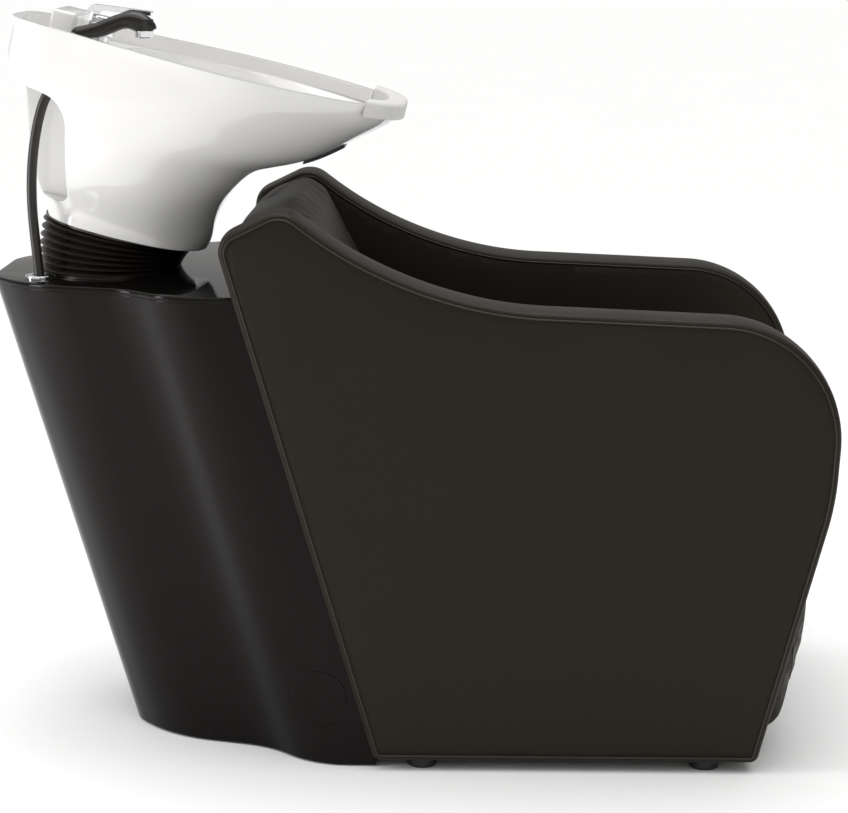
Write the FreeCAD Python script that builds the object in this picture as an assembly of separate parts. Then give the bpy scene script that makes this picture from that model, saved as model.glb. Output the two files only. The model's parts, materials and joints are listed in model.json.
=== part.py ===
import FreeCAD, Part
import math
import os

V = FreeCAD.Vector

# The frame: +X runs from the basin to the sitter's knees, +Z up, floor at z = 0,
# origin under the middle of the footprint. Millimetres and degrees.

# Overall
seat_width = 640.0
heel_x = -45.0
front_x = 620.0
seat_depth = front_x - heel_x
lean_angle = 16.1
lean = math.tan(math.radians(lean_angle))
touch_gap = 0.3
overrun = 20.0
running_gap = 0.05
tolerance = 0.001

# Seat upholstery
crest_height = 827.6
arm_bottom = 16.0
arm_thickness = 80.0
arm_edge_round = 12.0
heel_round = 16.0
corner_round = 32.0
crest_round = 42.0
sweep_round = 620.0
arm_front_round = 175.0
shin_round = 400.0
toe_round = 14.0
crest_share = (-0.1934, 1.0)
sweep_share = (0.080, 0.832)
brow_share = (1.010, 0.799)
shin_share = (0.988, 0.489)
toe_along_share = 0.8354
corner_height_share = 0.9435
back_recline = 28.5
back_crest_round = 24.0
cushion_top = 440.0
cushion_thickness = 110.0
cushion_crown = 14.0
cushion_crown_round = 1400.0
cushion_nose = 30.0
cushion_edge_round = 18.0
cushion_side_pull = 4.0
cushion_front_share = 0.968
deck_front_share = 0.90
cushion_side_drop = 12.0
apron_thickness = 30.0
apron_bottom = 40.0
apron_top_shares = (0.947, 0.398)
apron_mid_shares = (0.938, 0.205)
apron_foot_share = 0.884
apron_mid_round = 260.0
apron_round = 12.0

# Seat carcass
board_thickness = 18.0
deck_thickness = 15.0
back_board_thickness = 12.0
side_board_height = 285.0
side_board_inset = 34.0
side_board_lift = 14.0
rail_height = 90.0
rail_thickness = 25.0
rail_shares = (0.02, 0.42, 0.80)
foot_radius = 21.5
foot_shares = (0.100, 0.725)
foot_inset = 36.0
foot_stud_radius = 4.0
foot_stud_length = 24.0
stud_clearance = 0.4
foot_edge_round = 2.0
cleat_height = 60.0
cleat_out = 160.0
cleat_half = 20.0
bracket_height = 40.0
bracket_leg = 30.0
bracket_gauge = 2.5
screw_radius = 2.5
screw_length = 16.0
screw_inset = 18.0
screw_head_radius = 4.5
screw_head_height = 2.0

# Pedestal
pedestal_height = 698.0
pedestal_rear_x = -632.0
pedestal_lift = 3.0
shell_wall = 5.0
rear_shoulder_half = 182.0
rear_lobe_half = 224.0
rear_flat_half = 97.0
rear_corner_reach = 71.0
flute_reach = 219.0
front_lobe_half = 299.0
front_lobe_reach = 294.0
rear_round = 90.0
shoulder_round = 196.0
flute_round = 144.0
front_lobe_round = 125.0
link_gap = 0.4
top_thickness = 8.0
top_edge_round = 3.0
lid_opening_behind = 108.0
lid_opening_ahead = 52.0
lid_opening_half = 62.0
lid_opening_round = 10.0
door_bottom = 205.0
door_top = 500.0
door_half = 88.0
door_gap = 0.8
door_seat_lap = 1.0
door_ledge = 12.0
door_ledge_wall = 4.0
door_notch_half = 36.0
door_notch_drop = 18.0
door_notch_backing = 30.0
cap_radius = 43.0
cap_height = 103.0
cap_from_seat = 14.0
cap_lip = 4.0
cap_plug_wall = 2.5
cap_plug_depth = 30.0
cap_thickness = 3.0
cap_gap = 0.4

# Steel frame inside the pedestal
glide_radius = 18.0
glide_height = 12.0
glide_edge_round = 2.0
base_plate_thickness = 8.0
base_plate_length = 270.0
base_plate_width = 300.0
base_plate_front_gap = 45.0
floor_hole_radius = 5.5
floor_hole_inset = 28.0
glide_inset = 62.0
column_side = 80.0
column_wall = 4.0
column_plate = 6.0
column_plate_length = 84.0
column_plate_width = 120.0
link_plate_thickness = 6.0
link_plate_height = 200.0
link_plate_half = 150.0
link_plate_z = 480.0
link_arm_half = 30.0
link_arm_height = 50.0
link_bolt_radius = 5.0
link_bolt_spacing = 240.0
link_bolt_rise = 140.0
link_bolt_head_radius = 8.0
link_bolt_head_height = 6.0

# Tilt joint under the basin
basin_tilt = 13.5
pivot_drop = 8.0
pivot_behind_heel = 392.0
fork_half_gap = 40.0
fork_thickness = 6.0
fork_width = 44.0
fork_base_length = 80.0
fork_base_width = 110.0
fork_base_thickness = 6.0
pivot_above_column = 50.0
pin_radius = 6.0
bush_radius = 9.0
bush_length = 9.0
pin_head_radius = 10.0
pin_head_length = 4.0
ear_thickness = 6.0
ear_width = 44.0
cradle_thickness = 6.0
cradle_length = 100.0
cradle_width = 110.0
cradle_ahead = 4.0
cradle_bolt_radius = 4.0
cradle_bolt_head_radius = 7.0
cradle_bolt_head_height = 5.0
cradle_bolt_inset = 15.0

# Basin, in its own level frame: u forward, w up, origin at the pivot
basin_foot_height = 65.0
basin_height = 283.0
basin_rear = 243.0
basin_front = 346.0
basin_half_width = 235.0
rim_width = 15.0
basin_web = 14.0
basin_skin = 13.0
hollow_front = 240.0
deck_drop = 22.0
deck_skin = 12.0
bowl_floor = 125.0
bowl_rear = -84.0
bowl_front = 330.0
bowl_half_width = 219.0
pocket_wall = 14.0
pocket_floor = 250.0
scoop_round = 50.0
scoop_foot_round = 14.0
spine_half = 46.0
spine_back_round = 8.0
duct_half = 32.0
duct_roof_drop = 24.0
web_opening_rear = -118.0
web_opening_front = -46.0
web_opening_half = 40.0
upstand_rear = -187.0
upstand_length = 38.0
upstand_half = 62.0
upstand_rise = 44.0
upstand_round = 5.0
waste_behind = 70.0
waste_radius = 17.2
waste_flange_radius = 30.0
waste_flange = 3.0
waste_length = 62.0
waste_wall = 2.5
waste_clearance = 0.5
waste_nut_radius = 23.0
waste_nut_height = 8.0
strainer_radius = 26.0
strainer_thickness = 2.0
strainer_hole_radius = 2.5
strainer_hole_rings = ((6, 0.36), (12, 0.72))
strainer_stem_radius = 5.0
strainer_stem_length = 14.0
strainer_knob_radius = 6.0
strainer_knob_height = 8.0

# Neck rest and bumper
neck_rest_start = 300.0
neck_rest_low = 332.0
neck_rest_height = 24.0
neck_rest_overhang = 11.0
neck_rest_side = 6.0
neck_rest_lap = 4.0
neck_rest_round = 6.0
bumper_half = 60.0
bumper_rear = 226.0
bumper_front = 281.0
bumper_thickness = 4.0

# Mixer
mixer_behind = 118.0
mixer_foot_radius = 21.0
mixer_foot_height = 5.0
mixer_neck_radius = 14.0
mixer_neck_height = 12.0
mixer_head_radius = 21.0
mixer_head_height = 19.0
mixer_round = 3.0
mixer_tail_radius = 15.0
mixer_tail_length = 40.0
mixer_nut_radius = 19.5
mixer_nut_height = 8.0
mixer_hole_radius = 16.5
mixer_cap_radius = 17.5
mixer_cap_height = 9.7
lever_pin_behind = 12.0
lever_pin_rise = 8.0
lever_pin_radius = 2.5
lever_lug_half = 4.5
lever_lug_reach = 4.5
lever_lift_room = 25.0
lever_rear_half = 12.0
lever_tip_half = 8.5
lever_tip_ahead = 70.0
lever_tip_rise = 24.0
lever_thickness = 7.0
lever_belly_rise = 4.0
lever_pin_recess = 1.0
lever_heel_behind = 29.5
lever_heel_drop = 2.5
lever_heel_thickness = 5.0
lever_heel_slant = 1.0
lever_shoulder_behind = 19.0
lever_shoulder_rise = 14.0
lever_round = 2.0

# Hand shower
shower_offset = 85.0
shower_behind = 142.0
guide_slope = 74.0
guide_radius = 16.0
guide_bore = 12.4
guide_flange_radius = 23.0
guide_flange = 2.5
guide_length = 76.0
guide_collar = 7.0
guide_hole_radius = 16.5
shank_radius = 12.0
shank_length = 26.0
shower_collar_radius = 15.0
shower_collar = 4.0
throat_length = 6.0
nozzle_radius = 13.5
nozzle_length = 13.0
nozzle_ahead = 97.5
nozzle_rise = 49.0
spray_ring_wall = 2.0
spray_ring_length = 9.0
spray_face_radius = 9.6
spray_face_depth = 1.0
spray_pip_radius = 1.0
spray_pip_height = 1.2
spray_pip_shares = ((6, 0.38), (12, 0.74))
shower_reach = 110.0
shower_rise = 57.0
shower_neck_radius = 12.0

# Hand shower neck: shares of the reach ahead and of the rise, slope in degrees, share of the radius
shower_station_shares = (
    (0.036, 0.202, 74, 0.958),
    (0.118, 0.386, 48, 0.983),
    (0.241, 0.491, 33, 0.917),
    (0.450, 0.737, 32, 0.975),
    (0.618, 0.930, 25, 1.0),
    (0.764, 0.974, 5, 1.208),
    (0.882, 0.930, -25, 1.167),
    (0.973, 0.825, -58, 0.792),
)

# Shower hose
hose_radius = 7.5
grommet_radius = 21.5
grommet_height = 5.0
grommet_neck = 12.0
grommet_x = -554.0
grommet_y = -119.0
route_arc_share = 0.45
hose_route = (
    (-542.8, -85.2, 962.7),
    (-549.4, -86.3, 946.0),
    (-556.9, -89.0, 917.1),
    (-563.1, -94.0, 875.8),
    (-565.3, -99.5, 834.2),
    (-563.8, -105.5, 792.5),
    (-559.6, -112.0, 751.1),
)

# Bellows
bellows_folds = 7
bellows_points = 16
bellows_behind = 28.0
bellows_base_along = 101.0
bellows_base_across = 134.0
bellows_top_along = 112.0
bellows_top_across = 112.0
bellows_fold_reach = 5.5
bellows_wall = 2.0
bellows_flange = 3.0
bellows_flange_reach = 3.0

# Plumbing
drain_hose_radius = 20.0
drain_hose_wall = 2.5
drain_hose_lap = 18.0
drain_hose_straight = 60.0
trap_x = -502.0
trap_top = 590.0
trap_radius = 32.0
trap_height = 110.0
trap_wall = 3.0
trap_neck_radius = 24.0
trap_neck_height = 16.0
trap_outlet_z = 545.0
waste_pipe_radius = 19.0
waste_pipe_wall = 2.5
waste_pipe_y = 95.0
waste_pipe_x = -228.0
waste_pipe_turn = 150.0
waste_pipe_bend = 34.0
waste_collar_radius = 31.0
waste_collar = 14.0
waste_spigot_radius = 20.0
waste_hole_radius = 27.0
spigot_low = 4.0
valve_x = -330.0
valve_y = 55.0
valve_radius = 14.0
valve_length = 70.0
valve_socket_depth = 12.0
valve_flange_radius = 24.0
valve_flange = 4.0
valve_hole_radius = 17.0
valve_stub_radius = 10.3
valve_stub_bore = 6.5
valve_bore_depth = 26.0
valve_knob_z = 60.0
valve_knob_radius = 13.0
valve_knob_length = 12.0
supply_radius = 5.0
supply_apart = 8.0
supply_socket_depth = 10.0
supply_on_bowl = (
    (-118.0, 8.0, 265.0),
    (-134.0, 12.0, 205.0),
    (-132.0, 20.0, 142.0),
    (-121.0, 26.0, 98.0),
    (-106.0, 27.0, 70.0),
)
supply_in_pedestal = (
    (-534.0, 38.0, 715.0),
    (-540.0, 46.0, 650.0),
    (-538.0, 52.0, 500.0),
    (-470.0, 54.0, 330.0),
    (-345.0, 55.0, 170.0),
    (-330.0, 55.0, 125.0),
)


# Shared shapes

def lean_x(z):
    return heel_x - lean * z


def along(share):
    return heel_x + share * seat_depth


def corner_wire(corners, closed=True):
    """Straight runs joined by tangent arcs, through (point, radius) corners."""
    count = len(corners)
    starts, ends, middles = [], [], []
    for i, (point, radius) in enumerate(corners):
        is_end = not closed and i in (0, count - 1)
        if radius == 0 or is_end:
            starts.append(point)
            ends.append(point)
            middles.append(None)
            continue
        back = (corners[i - 1][0] - point).normalize()
        ahead = (corners[(i + 1) % count][0] - point).normalize()
        half_angle = back.getAngle(ahead) / 2
        reach = radius / math.tan(half_angle)
        bisector = (back + ahead).normalize()
        starts.append(point + back * reach)
        ends.append(point + ahead * reach)
        middles.append(point + bisector * (radius / math.sin(half_angle) - radius))
    edges = []
    for i in range(count):
        if middles[i] is not None:
            edges.append(Part.Arc(starts[i], middles[i], ends[i]).toShape())
        following = (i + 1) % count
        if following == 0 and not closed:
            continue
        if (starts[following] - ends[i]).Length > tolerance:
            edges.append(Part.LineSegment(ends[i], starts[following]).toShape())
    return Part.Wire(edges)


def side_prism(corners, y_low, y_high):
    """A side view outline of (x, z, radius) corners, pulled across the width."""
    wire = corner_wire([(V(x, y_low, z), radius) for x, z, radius in corners])
    return Part.Face(wire).extrude(V(0, y_high - y_low, 0))


def plan_face(corners, z):
    return Part.Face(corner_wire([(V(x, y, z), radius) for x, y, radius in corners]))


def box(x_low, x_high, y_low, y_high, z_low, z_high):
    size = (x_high - x_low, y_high - y_low, z_high - z_low)
    return Part.makeBox(*size, V(x_low, y_low, z_low))


def rod(radius, start, direction, length):
    return Part.makeCylinder(radius, length, start, direction)


def ring(outer, inner, start, direction, length):
    return rod(outer, start, direction, length).cut(
        rod(inner, start - direction * overrun, direction, length + 2 * overrun)
    )


def both_sides(shape):
    return [shape, shape.mirror(V(0, 0, 0), V(0, 1, 0))]


def joined(shapes):
    result = shapes[0]
    for shape in shapes[1:]:
        result = result.fuse(shape)
    return result.removeSplitter()


def without(shape, cutters):
    for cutter in cutters:
        shape = shape.cut(cutter)
    return shape


def grouped(shapes):
    return Part.makeCompound(shapes)


def tube_along(wire, radius):
    """A round bar swept along a wire, from the start of its first edge."""
    first = wire.OrderedEdges[0]
    start = wire.OrderedVertexes[0].Point
    heading = first.tangentAt(first.FirstParameter)
    circle = Part.Wire([Part.Circle(start, heading, radius).toShape()])
    return wire.makePipeShell([circle], True, False)


def route_corners(points):
    """Each bend's arc takes 0.45 of its shorter run."""
    corners = [(points[0], 0.0)]
    for before, here, after in zip(points, points[1:], points[2:]):
        turn = (here - before).getAngle(after - here)
        shorter = min((here - before).Length, (after - here).Length)
        corners.append((here, route_arc_share * shorter / math.tan(turn / 2)))
    corners.append((points[-1], 0.0))
    return corners


# Seat

half_seat = seat_width / 2
arm_inner = half_seat - arm_thickness
deck_top = cushion_top - cushion_thickness
corner_z = corner_height_share * crest_height
crest_x = along(crest_share[0])
recline = math.tan(math.radians(back_recline))
back_foot_x = crest_x + recline * (crest_height - cushion_top)
side_board_top = arm_bottom + side_board_lift + side_board_height


def arm_corners():
    return [
        (lean_x(arm_bottom), arm_bottom, heel_round),
        (lean_x(corner_z), corner_z, corner_round),
        (crest_x, crest_share[1] * crest_height, crest_round),
        (along(sweep_share[0]), sweep_share[1] * crest_height, sweep_round),
        (along(brow_share[0]), brow_share[1] * crest_height, arm_front_round),
        (along(shin_share[0]), shin_share[1] * crest_height, shin_round),
        (along(toe_along_share), arm_bottom, toe_round),
    ]


def side_board(grow=0.0):
    low = arm_bottom + side_board_lift - grow
    high = side_board_top + grow
    front = along(toe_along_share) - side_board_inset + grow
    rear = side_board_inset - grow
    corners = [
        (lean_x(low) + rear, low, 0),
        (lean_x(high) + rear, high, 0),
        (front + lean * (high - low), high, 0),
        (front, low, 0),
    ]
    return side_prism(corners, arm_inner - grow, arm_inner + board_thickness + grow)


def foot_places():
    y = half_seat - foot_inset
    return [V(along(share), y, 0) for share in foot_shares]


def side_panel():
    panel = side_prism(arm_corners(), arm_inner, half_seat)
    rims = []
    for edge in panel.Edges:
        bounds = edge.BoundBox
        if bounds.YLength < tolerance:
            rims.append(edge)
    panel = panel.makeFillet(arm_edge_round, rims)
    panel = panel.cut(side_board(touch_gap))
    for place in foot_places():
        bore = foot_stud_radius + stud_clearance
        depth = arm_bottom + foot_stud_length + stud_clearance
        panel = panel.cut(rod(bore, place, V(0, 0, 1), depth))
    return panel


def seat_foot(place):
    pad = rod(foot_radius, place, V(0, 0, 1), arm_bottom)
    pad = pad.makeFillet(foot_edge_round, [pad.Edges[0], pad.Edges[2]])
    stud = rod(foot_stud_radius, place + V(0, 0, arm_bottom), V(0, 0, 1), foot_stud_length)
    return pad.fuse(stud)


def back_board(grow=0.0):
    low = deck_top - grow
    high = pedestal_height - top_thickness + grow
    rear = -grow
    front = back_board_thickness + grow
    corners = [
        (lean_x(low) + rear, low, 0),
        (lean_x(high) + rear, high, 0),
        (lean_x(high) + front, high, 0),
        (lean_x(low) + front, low, 0),
    ]
    half = arm_inner - touch_gap + grow
    return side_prism(corners, -half, half)


def backrest_cushion():
    half = arm_inner - touch_gap
    corners = [
        (lean_x(deck_top), deck_top, 0),
        (lean_x(corner_z), corner_z, corner_round),
        (crest_x, crest_height, back_crest_round),
        (back_foot_x, cushion_top, 0),
        (back_foot_x, deck_top, 0),
    ]
    cushion = side_prism(corners, -half, half)
    cushion = cushion.cut(back_board(touch_gap))
    return without(cushion, [link_bolt_room(y, z) for y, z in link_bolt_places()])


def seat_cushion():
    """Crowned both ways, with a rounded nose and sides that draw in."""
    half = arm_inner - touch_gap
    rear = back_foot_x + touch_gap
    front = along(cushion_front_share)
    middle = (rear + front) / 2
    side_top = cushion_top - cushion_side_drop
    side_view = side_prism([
        (rear, deck_top, 0),
        (rear, side_top, cushion_side_drop),
        (middle, cushion_top + cushion_crown, cushion_crown_round),
        (front, side_top, cushion_nose),
        (front - cushion_side_drop, deck_top, cushion_side_drop),
    ], -half, half)
    start = rear - overrun
    crown = cushion_top + cushion_crown
    end_view = Part.Face(corner_wire([
        (V(start, -half, deck_top), cushion_side_drop),
        (V(start, -half, side_top + cushion_crown / 2), cushion_edge_round),
        (V(start, 0, crown + cushion_crown / 2), cushion_crown_round),
        (V(start, half, side_top + cushion_crown / 2), cushion_edge_round),
        (V(start, half, deck_top), cushion_side_drop),
    ]))
    crowned = side_view.common(end_view.extrude(V(front - rear + 2 * overrun, 0, 0)))
    waist = half - cushion_side_pull
    rear_ends = [V(rear - overrun, y, 0) for y in (-half, half)]
    front_ends = [V(front + overrun, y, 0) for y in (-half, half)]
    plan = Part.Face(Part.Wire([
        Part.Arc(rear_ends[0], V(middle, -waist, 0), front_ends[0]).toShape(),
        Part.LineSegment(front_ends[0], front_ends[1]).toShape(),
        Part.Arc(front_ends[1], V(middle, waist, 0), rear_ends[1]).toShape(),
        Part.LineSegment(rear_ends[1], rear_ends[0]).toShape(),
    ]))
    return crowned.common(plan.extrude(V(0, 0, 2 * cushion_top)))


def front_apron():
    half = arm_inner - touch_gap
    top_x, top_z = along(apron_top_shares[0]), apron_top_shares[1] * crest_height
    mid_x, mid_z = along(apron_mid_shares[0]), apron_mid_shares[1] * crest_height
    foot_x = along(apron_foot_share)
    return side_prism([
        (top_x - apron_thickness, top_z, 0),
        (top_x, top_z, apron_round),
        (mid_x, mid_z, apron_mid_round),
        (foot_x, apron_bottom, apron_round),
        (foot_x - apron_thickness, apron_bottom, apron_round),
        (mid_x - apron_thickness, mid_z, apron_mid_round),
    ], -half, half)


def seat_deck():
    half = arm_inner - touch_gap
    low = deck_top - deck_thickness
    return side_prism([
        (lean_x(low), low, 0),
        (lean_x(deck_top), deck_top, 0),
        (along(deck_front_share), deck_top, 0),
        (along(deck_front_share), low, 0),
    ], -half, half)


def rail_places():
    return [along(share) for share in rail_shares]


def seat_rails():
    top = deck_top - deck_thickness
    low = top - rail_height
    return [
        box(x, x + rail_thickness, -arm_inner, arm_inner, low, top)
        for x in rail_places()
    ]


def apron_cleats():
    """Blocks that carry the front apron off the front rail."""
    x_low = rail_places()[-1] + rail_thickness
    x_high = along(apron_top_shares[0]) - apron_thickness - touch_gap
    high = deck_top - deck_thickness
    low = high - cleat_height
    blocks = []
    for y in (-cleat_out, cleat_out):
        blocks.append(box(x_low, x_high, y - cleat_half, y + cleat_half, low, high))
    apron = front_apron()
    apron.translate(V(-touch_gap, 0, 0))
    return [block.cut(apron) for block in blocks]


def bracket_screw_places():
    places = []
    z = deck_top - deck_thickness - rail_height / 2
    for x in rail_places():
        places.append((x + rail_thickness, z))
    return places


def corner_bracket(x, z):
    """A folded steel angle between a rail's front face and a side board."""
    half = bracket_height / 2
    on_rail = box(x, x + bracket_gauge, arm_inner - bracket_leg, arm_inner, z - half, z + half)
    on_board = box(x, x + bracket_leg, arm_inner - bracket_gauge, arm_inner, z - half, z + half)
    return on_rail.fuse(on_board)


def bracket_screws(x, z, clearance=0.0):
    radius = screw_radius + clearance
    reach = screw_length + clearance
    into_rail = V(x + bracket_gauge, arm_inner - screw_inset, z)
    into_board = V(x + screw_inset, arm_inner - bracket_gauge, z)
    shapes = []
    for start, direction in ((into_rail, V(-1, 0, 0)), (into_board, V(0, 1, 0))):
        shank = rod(radius, start, direction, reach)
        head = rod(screw_head_radius, start, direction * -1, screw_head_height)
        shapes.append(shank.fuse(head))
    return shapes


# Pedestal

link_x = link_gap


def pedestal_half():
    rear = pedestal_rear_x
    front = lean_x(pedestal_height) - link_x
    return [
        (rear, rear_flat_half, rear_round),
        (rear + rear_corner_reach, rear_shoulder_half, shoulder_round),
        (rear + flute_reach, rear_lobe_half, flute_round),
        (rear + front_lobe_reach, front_lobe_half, front_lobe_round),
        (front, front_lobe_half, 0),
    ]


def pedestal_prism(z_low, z_high, inset=0.0):
    half = pedestal_half()
    corners = [(x, -y, radius) for x, y, radius in half]
    corners += [(x, y, radius) for x, y, radius in reversed(half)]
    face = plan_face(corners, pedestal_height)
    if inset:
        face = face.makeOffset2D(-inset)
    face.translate(V(lean * (pedestal_height - z_high), 0, z_high - pedestal_height))
    height = z_high - z_low
    return face.extrude(V(lean * height, 0, -height))


def door_block(grow, z_grow):
    return box(
        pedestal_rear_x - overrun,
        pedestal_rear_x + lean * pedestal_height,
        -door_half - grow,
        door_half + grow,
        door_bottom - z_grow,
        door_top + z_grow,
    )


def cap_rod(side, radius):
    """A round bar across the pedestal's side wall where an access cap sits."""
    x = lean_x(cap_height) - cap_from_seat - cap_radius
    start = V(x, side * (front_lobe_half + overrun), cap_height)
    return rod(radius, start, V(0, -side, 0), overrun + cap_plug_depth)


def link_bolt_places():
    places = []
    for y in (-link_bolt_spacing / 2, link_bolt_spacing / 2):
        for z in (link_plate_z - link_bolt_rise / 2, link_plate_z + link_bolt_rise / 2):
            places.append((y, z))
    return places


def link_bolt_hole(y, z):
    radius = link_bolt_radius + stud_clearance
    reach = shell_wall + link_plate_thickness + back_board_thickness + 2 * overrun
    return rod(radius, V(lean_x(z) - reach / 2, y, z), V(1, 0, 0), reach)


def link_bolt_room(y, z):
    radius = link_bolt_head_radius + stud_clearance * 2
    start = lean_x(z) + back_board_thickness - link_bolt_head_height
    reach = link_bolt_head_height * 4
    return rod(radius, V(start, y, z), V(1, 0, 0), reach)


def pedestal_shell():
    shell_top = pedestal_height - top_thickness
    shell = pedestal_prism(pedestal_lift, shell_top)
    inside = pedestal_prism(pedestal_lift - overrun, shell_top + overrun, shell_wall)
    shell = shell.cut(inside)
    opening = door_block(door_gap, door_gap)
    shell = shell.cut(opening)
    ledge = pedestal_prism(door_bottom - overrun, door_top + overrun, shell_wall - door_seat_lap)
    ledge = ledge.cut(
        pedestal_prism(
            door_bottom - 2 * overrun, door_top + 2 * overrun, shell_wall + door_ledge_wall
        )
    )
    ledge = ledge.common(door_block(door_ledge, door_ledge))
    door_seat = pedestal_prism(door_bottom - overrun, door_top + overrun, shell_wall + touch_gap)
    ledge = ledge.cut(opening.cut(door_seat))
    window = box(
        pedestal_rear_x - overrun,
        pedestal_rear_x + lean * pedestal_height,
        -door_half + door_ledge,
        door_half - door_ledge,
        door_bottom + door_ledge,
        door_top - door_notch_backing,
    )
    shell = shell.fuse(ledge.cut(window)).removeSplitter()
    cap_seat = pedestal_prism(pedestal_lift, shell_top, cap_thickness)
    for side in (-1, 1):
        shell = shell.cut(cap_rod(side, cap_radius).cut(cap_seat))
        shell = shell.cut(cap_rod(side, cap_radius - cap_lip))
    return without(shell, [link_bolt_hole(y, z) for y, z in link_bolt_places()])


def rear_door():
    slab = pedestal_prism(door_bottom - overrun, door_top + overrun)
    slab = slab.cut(
        pedestal_prism(door_bottom - 2 * overrun, door_top + 2 * overrun, shell_wall)
    )
    slab = slab.common(door_block(0, 0))
    notch = box(
        pedestal_rear_x - overrun,
        pedestal_rear_x + lean * pedestal_height,
        -door_notch_half,
        door_notch_half,
        door_top - door_notch_drop,
        door_top + overrun,
    )
    return slab.cut(notch)


def access_cap(side):
    """A disc that follows the side wall, with a short tube that plugs the hole."""
    top = cap_height + 2 * cap_radius
    seat = pedestal_prism(pedestal_lift, top, cap_thickness)
    skin = pedestal_prism(pedestal_lift, top).cut(seat)
    plug_radius = cap_radius - cap_lip - cap_gap
    plug = cap_rod(side, plug_radius).cut(cap_rod(side, plug_radius - cap_plug_wall))
    return skin.common(cap_rod(side, cap_radius - cap_gap)).fuse(plug.common(seat))


def pedestal_top():
    lid = pedestal_prism(pedestal_height - top_thickness, pedestal_height)
    rims = []
    for edge in lid.Edges:
        bounds = edge.BoundBox
        is_top = bounds.ZMin > pedestal_height - tolerance
        is_front = bounds.XLength < tolerance and bounds.YLength > front_lobe_half
        if is_top and not is_front:
            rims.append(edge)
    lid = lid.makeFillet(top_edge_round, rims)
    opening = box(
        pivot.x - lid_opening_behind, pivot.x + lid_opening_ahead,
        -lid_opening_half, lid_opening_half,
        pedestal_height - 2 * top_thickness, pedestal_height + overrun,
    )
    upright = [edge for edge in opening.Edges if edge.BoundBox.ZLength > top_thickness]
    lid = lid.cut(opening.makeFillet(lid_opening_round, upright))
    hole = rod(
        grommet_neck + touch_gap,
        V(grommet_x, grommet_y, pedestal_height - 2 * top_thickness),
        V(0, 0, 1), 3 * top_thickness,
    )
    return lid.cut(hole)


# Steel frame

pivot = V(heel_x - pivot_behind_heel, 0, pedestal_height - pivot_drop)
plate_low = glide_height
plate_top = glide_height + base_plate_thickness
plate_front = lean_x(plate_low) - base_plate_front_gap
plate_rear = plate_front - base_plate_length
fork_base_low = pivot.z - pivot_above_column
column_top = fork_base_low - column_plate


def column_x(z):
    return pivot.x + lean * (pivot.z - z)


def floor_hole_places():
    places = []
    for x in (plate_rear + floor_hole_inset, plate_front - floor_hole_inset):
        for y in (-1, 1):
            places.append(V(x, y * (base_plate_width / 2 - floor_hole_inset), plate_low))
    return places


def glide_places():
    places = []
    for x in (plate_rear + glide_inset, plate_front - glide_inset):
        for y in (-1, 1):
            places.append(V(x, y * (base_plate_width / 2 - glide_inset), 0))
    return places


def leaning_box(half_length, half_width, z_low, z_high, inset=0.0):
    x_low = column_x(z_low)
    reach = half_length - inset
    corners = [
        (x_low - reach, z_low, 0),
        (column_x(z_high) - reach, z_high, 0),
        (column_x(z_high) + reach, z_high, 0),
        (x_low + reach, z_low, 0),
    ]
    return side_prism(corners, -half_width + inset, half_width - inset)


def base_frame():
    half = base_plate_width / 2
    plate = box(plate_rear, plate_front, -half, half, plate_low, plate_top)
    for place in floor_hole_places():
        plate = plate.cut(rod(floor_hole_radius, place, V(0, 0, 1), base_plate_thickness))
    for side in (-1, 1):
        place = V(valve_x, side * valve_y, plate_low)
        plate = plate.cut(rod(valve_hole_radius, place, V(0, 0, 1), base_plate_thickness))
    place = V(waste_pipe_x, waste_pipe_y, plate_low)
    plate = plate.cut(rod(waste_hole_radius, place, V(0, 0, 1), base_plate_thickness))
    side = column_side / 2
    column = leaning_box(side, side, plate_top, column_top)
    bore = leaning_box(side, side, plate_top, column_top, column_wall)
    cap_x = pivot.x
    cap = box(
        cap_x - column_plate_length / 2, cap_x + column_plate_length / 2,
        -column_plate_width / 2, column_plate_width / 2, column_top, fork_base_low,
    )
    return joined([plate, column.cut(bore), cap])


def link_frame():
    """The arm and plate inside the pedestal that the seat is bolted to."""
    low = link_plate_z - link_plate_height / 2
    high = link_plate_z + link_plate_height / 2
    rear = link_x + shell_wall + touch_gap + link_plate_thickness
    front = link_x + shell_wall + touch_gap
    plate = side_prism([
        (lean_x(low) - rear, low, 0),
        (lean_x(high) - rear, high, 0),
        (lean_x(high) - front, high, 0),
        (lean_x(low) - front, low, 0),
    ], -link_plate_half, link_plate_half)
    arm_low = link_plate_z - link_arm_height / 2
    arm_high = link_plate_z + link_arm_height / 2
    side = column_side / 2
    arm = side_prism([
        (column_x(arm_low) + side, arm_low, 0),
        (column_x(arm_high) + side, arm_high, 0),
        (lean_x(arm_high) - rear, arm_high, 0),
        (lean_x(arm_low) - rear, arm_low, 0),
    ], -link_arm_half, link_arm_half)
    frame = plate.fuse(arm).removeSplitter()
    return without(frame, [link_bolt_hole(y, z) for y, z in link_bolt_places()])


def link_bolt(y, z):
    """Head against the pedestal side plate, nut on the seat's back board."""
    rear = lean_x(z) - link_x - shell_wall - touch_gap - link_plate_thickness
    rear -= link_bolt_head_radius * lean + touch_gap
    front = lean_x(z) + back_board_thickness + link_bolt_head_radius * lean + touch_gap
    shank = rod(link_bolt_radius, V(rear, y, z), V(1, 0, 0), front - rear)
    head = rod(link_bolt_head_radius, V(rear, y, z), V(-1, 0, 0), link_bolt_head_height)
    nut = rod(link_bolt_head_radius, V(front, y, z), V(1, 0, 0), link_bolt_head_height)
    return joined([shank, head, nut])


def glide(place):
    pad = rod(glide_radius, place, V(0, 0, 1), glide_height)
    return pad.makeFillet(glide_edge_round, [pad.Edges[2]])


# Tilt joint

def tilted(shape):
    shape = shape.copy()
    shape.rotate(V(0, 0, 0), V(0, 1, 0), basin_tilt)
    shape.translate(pivot)
    return shape


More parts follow.
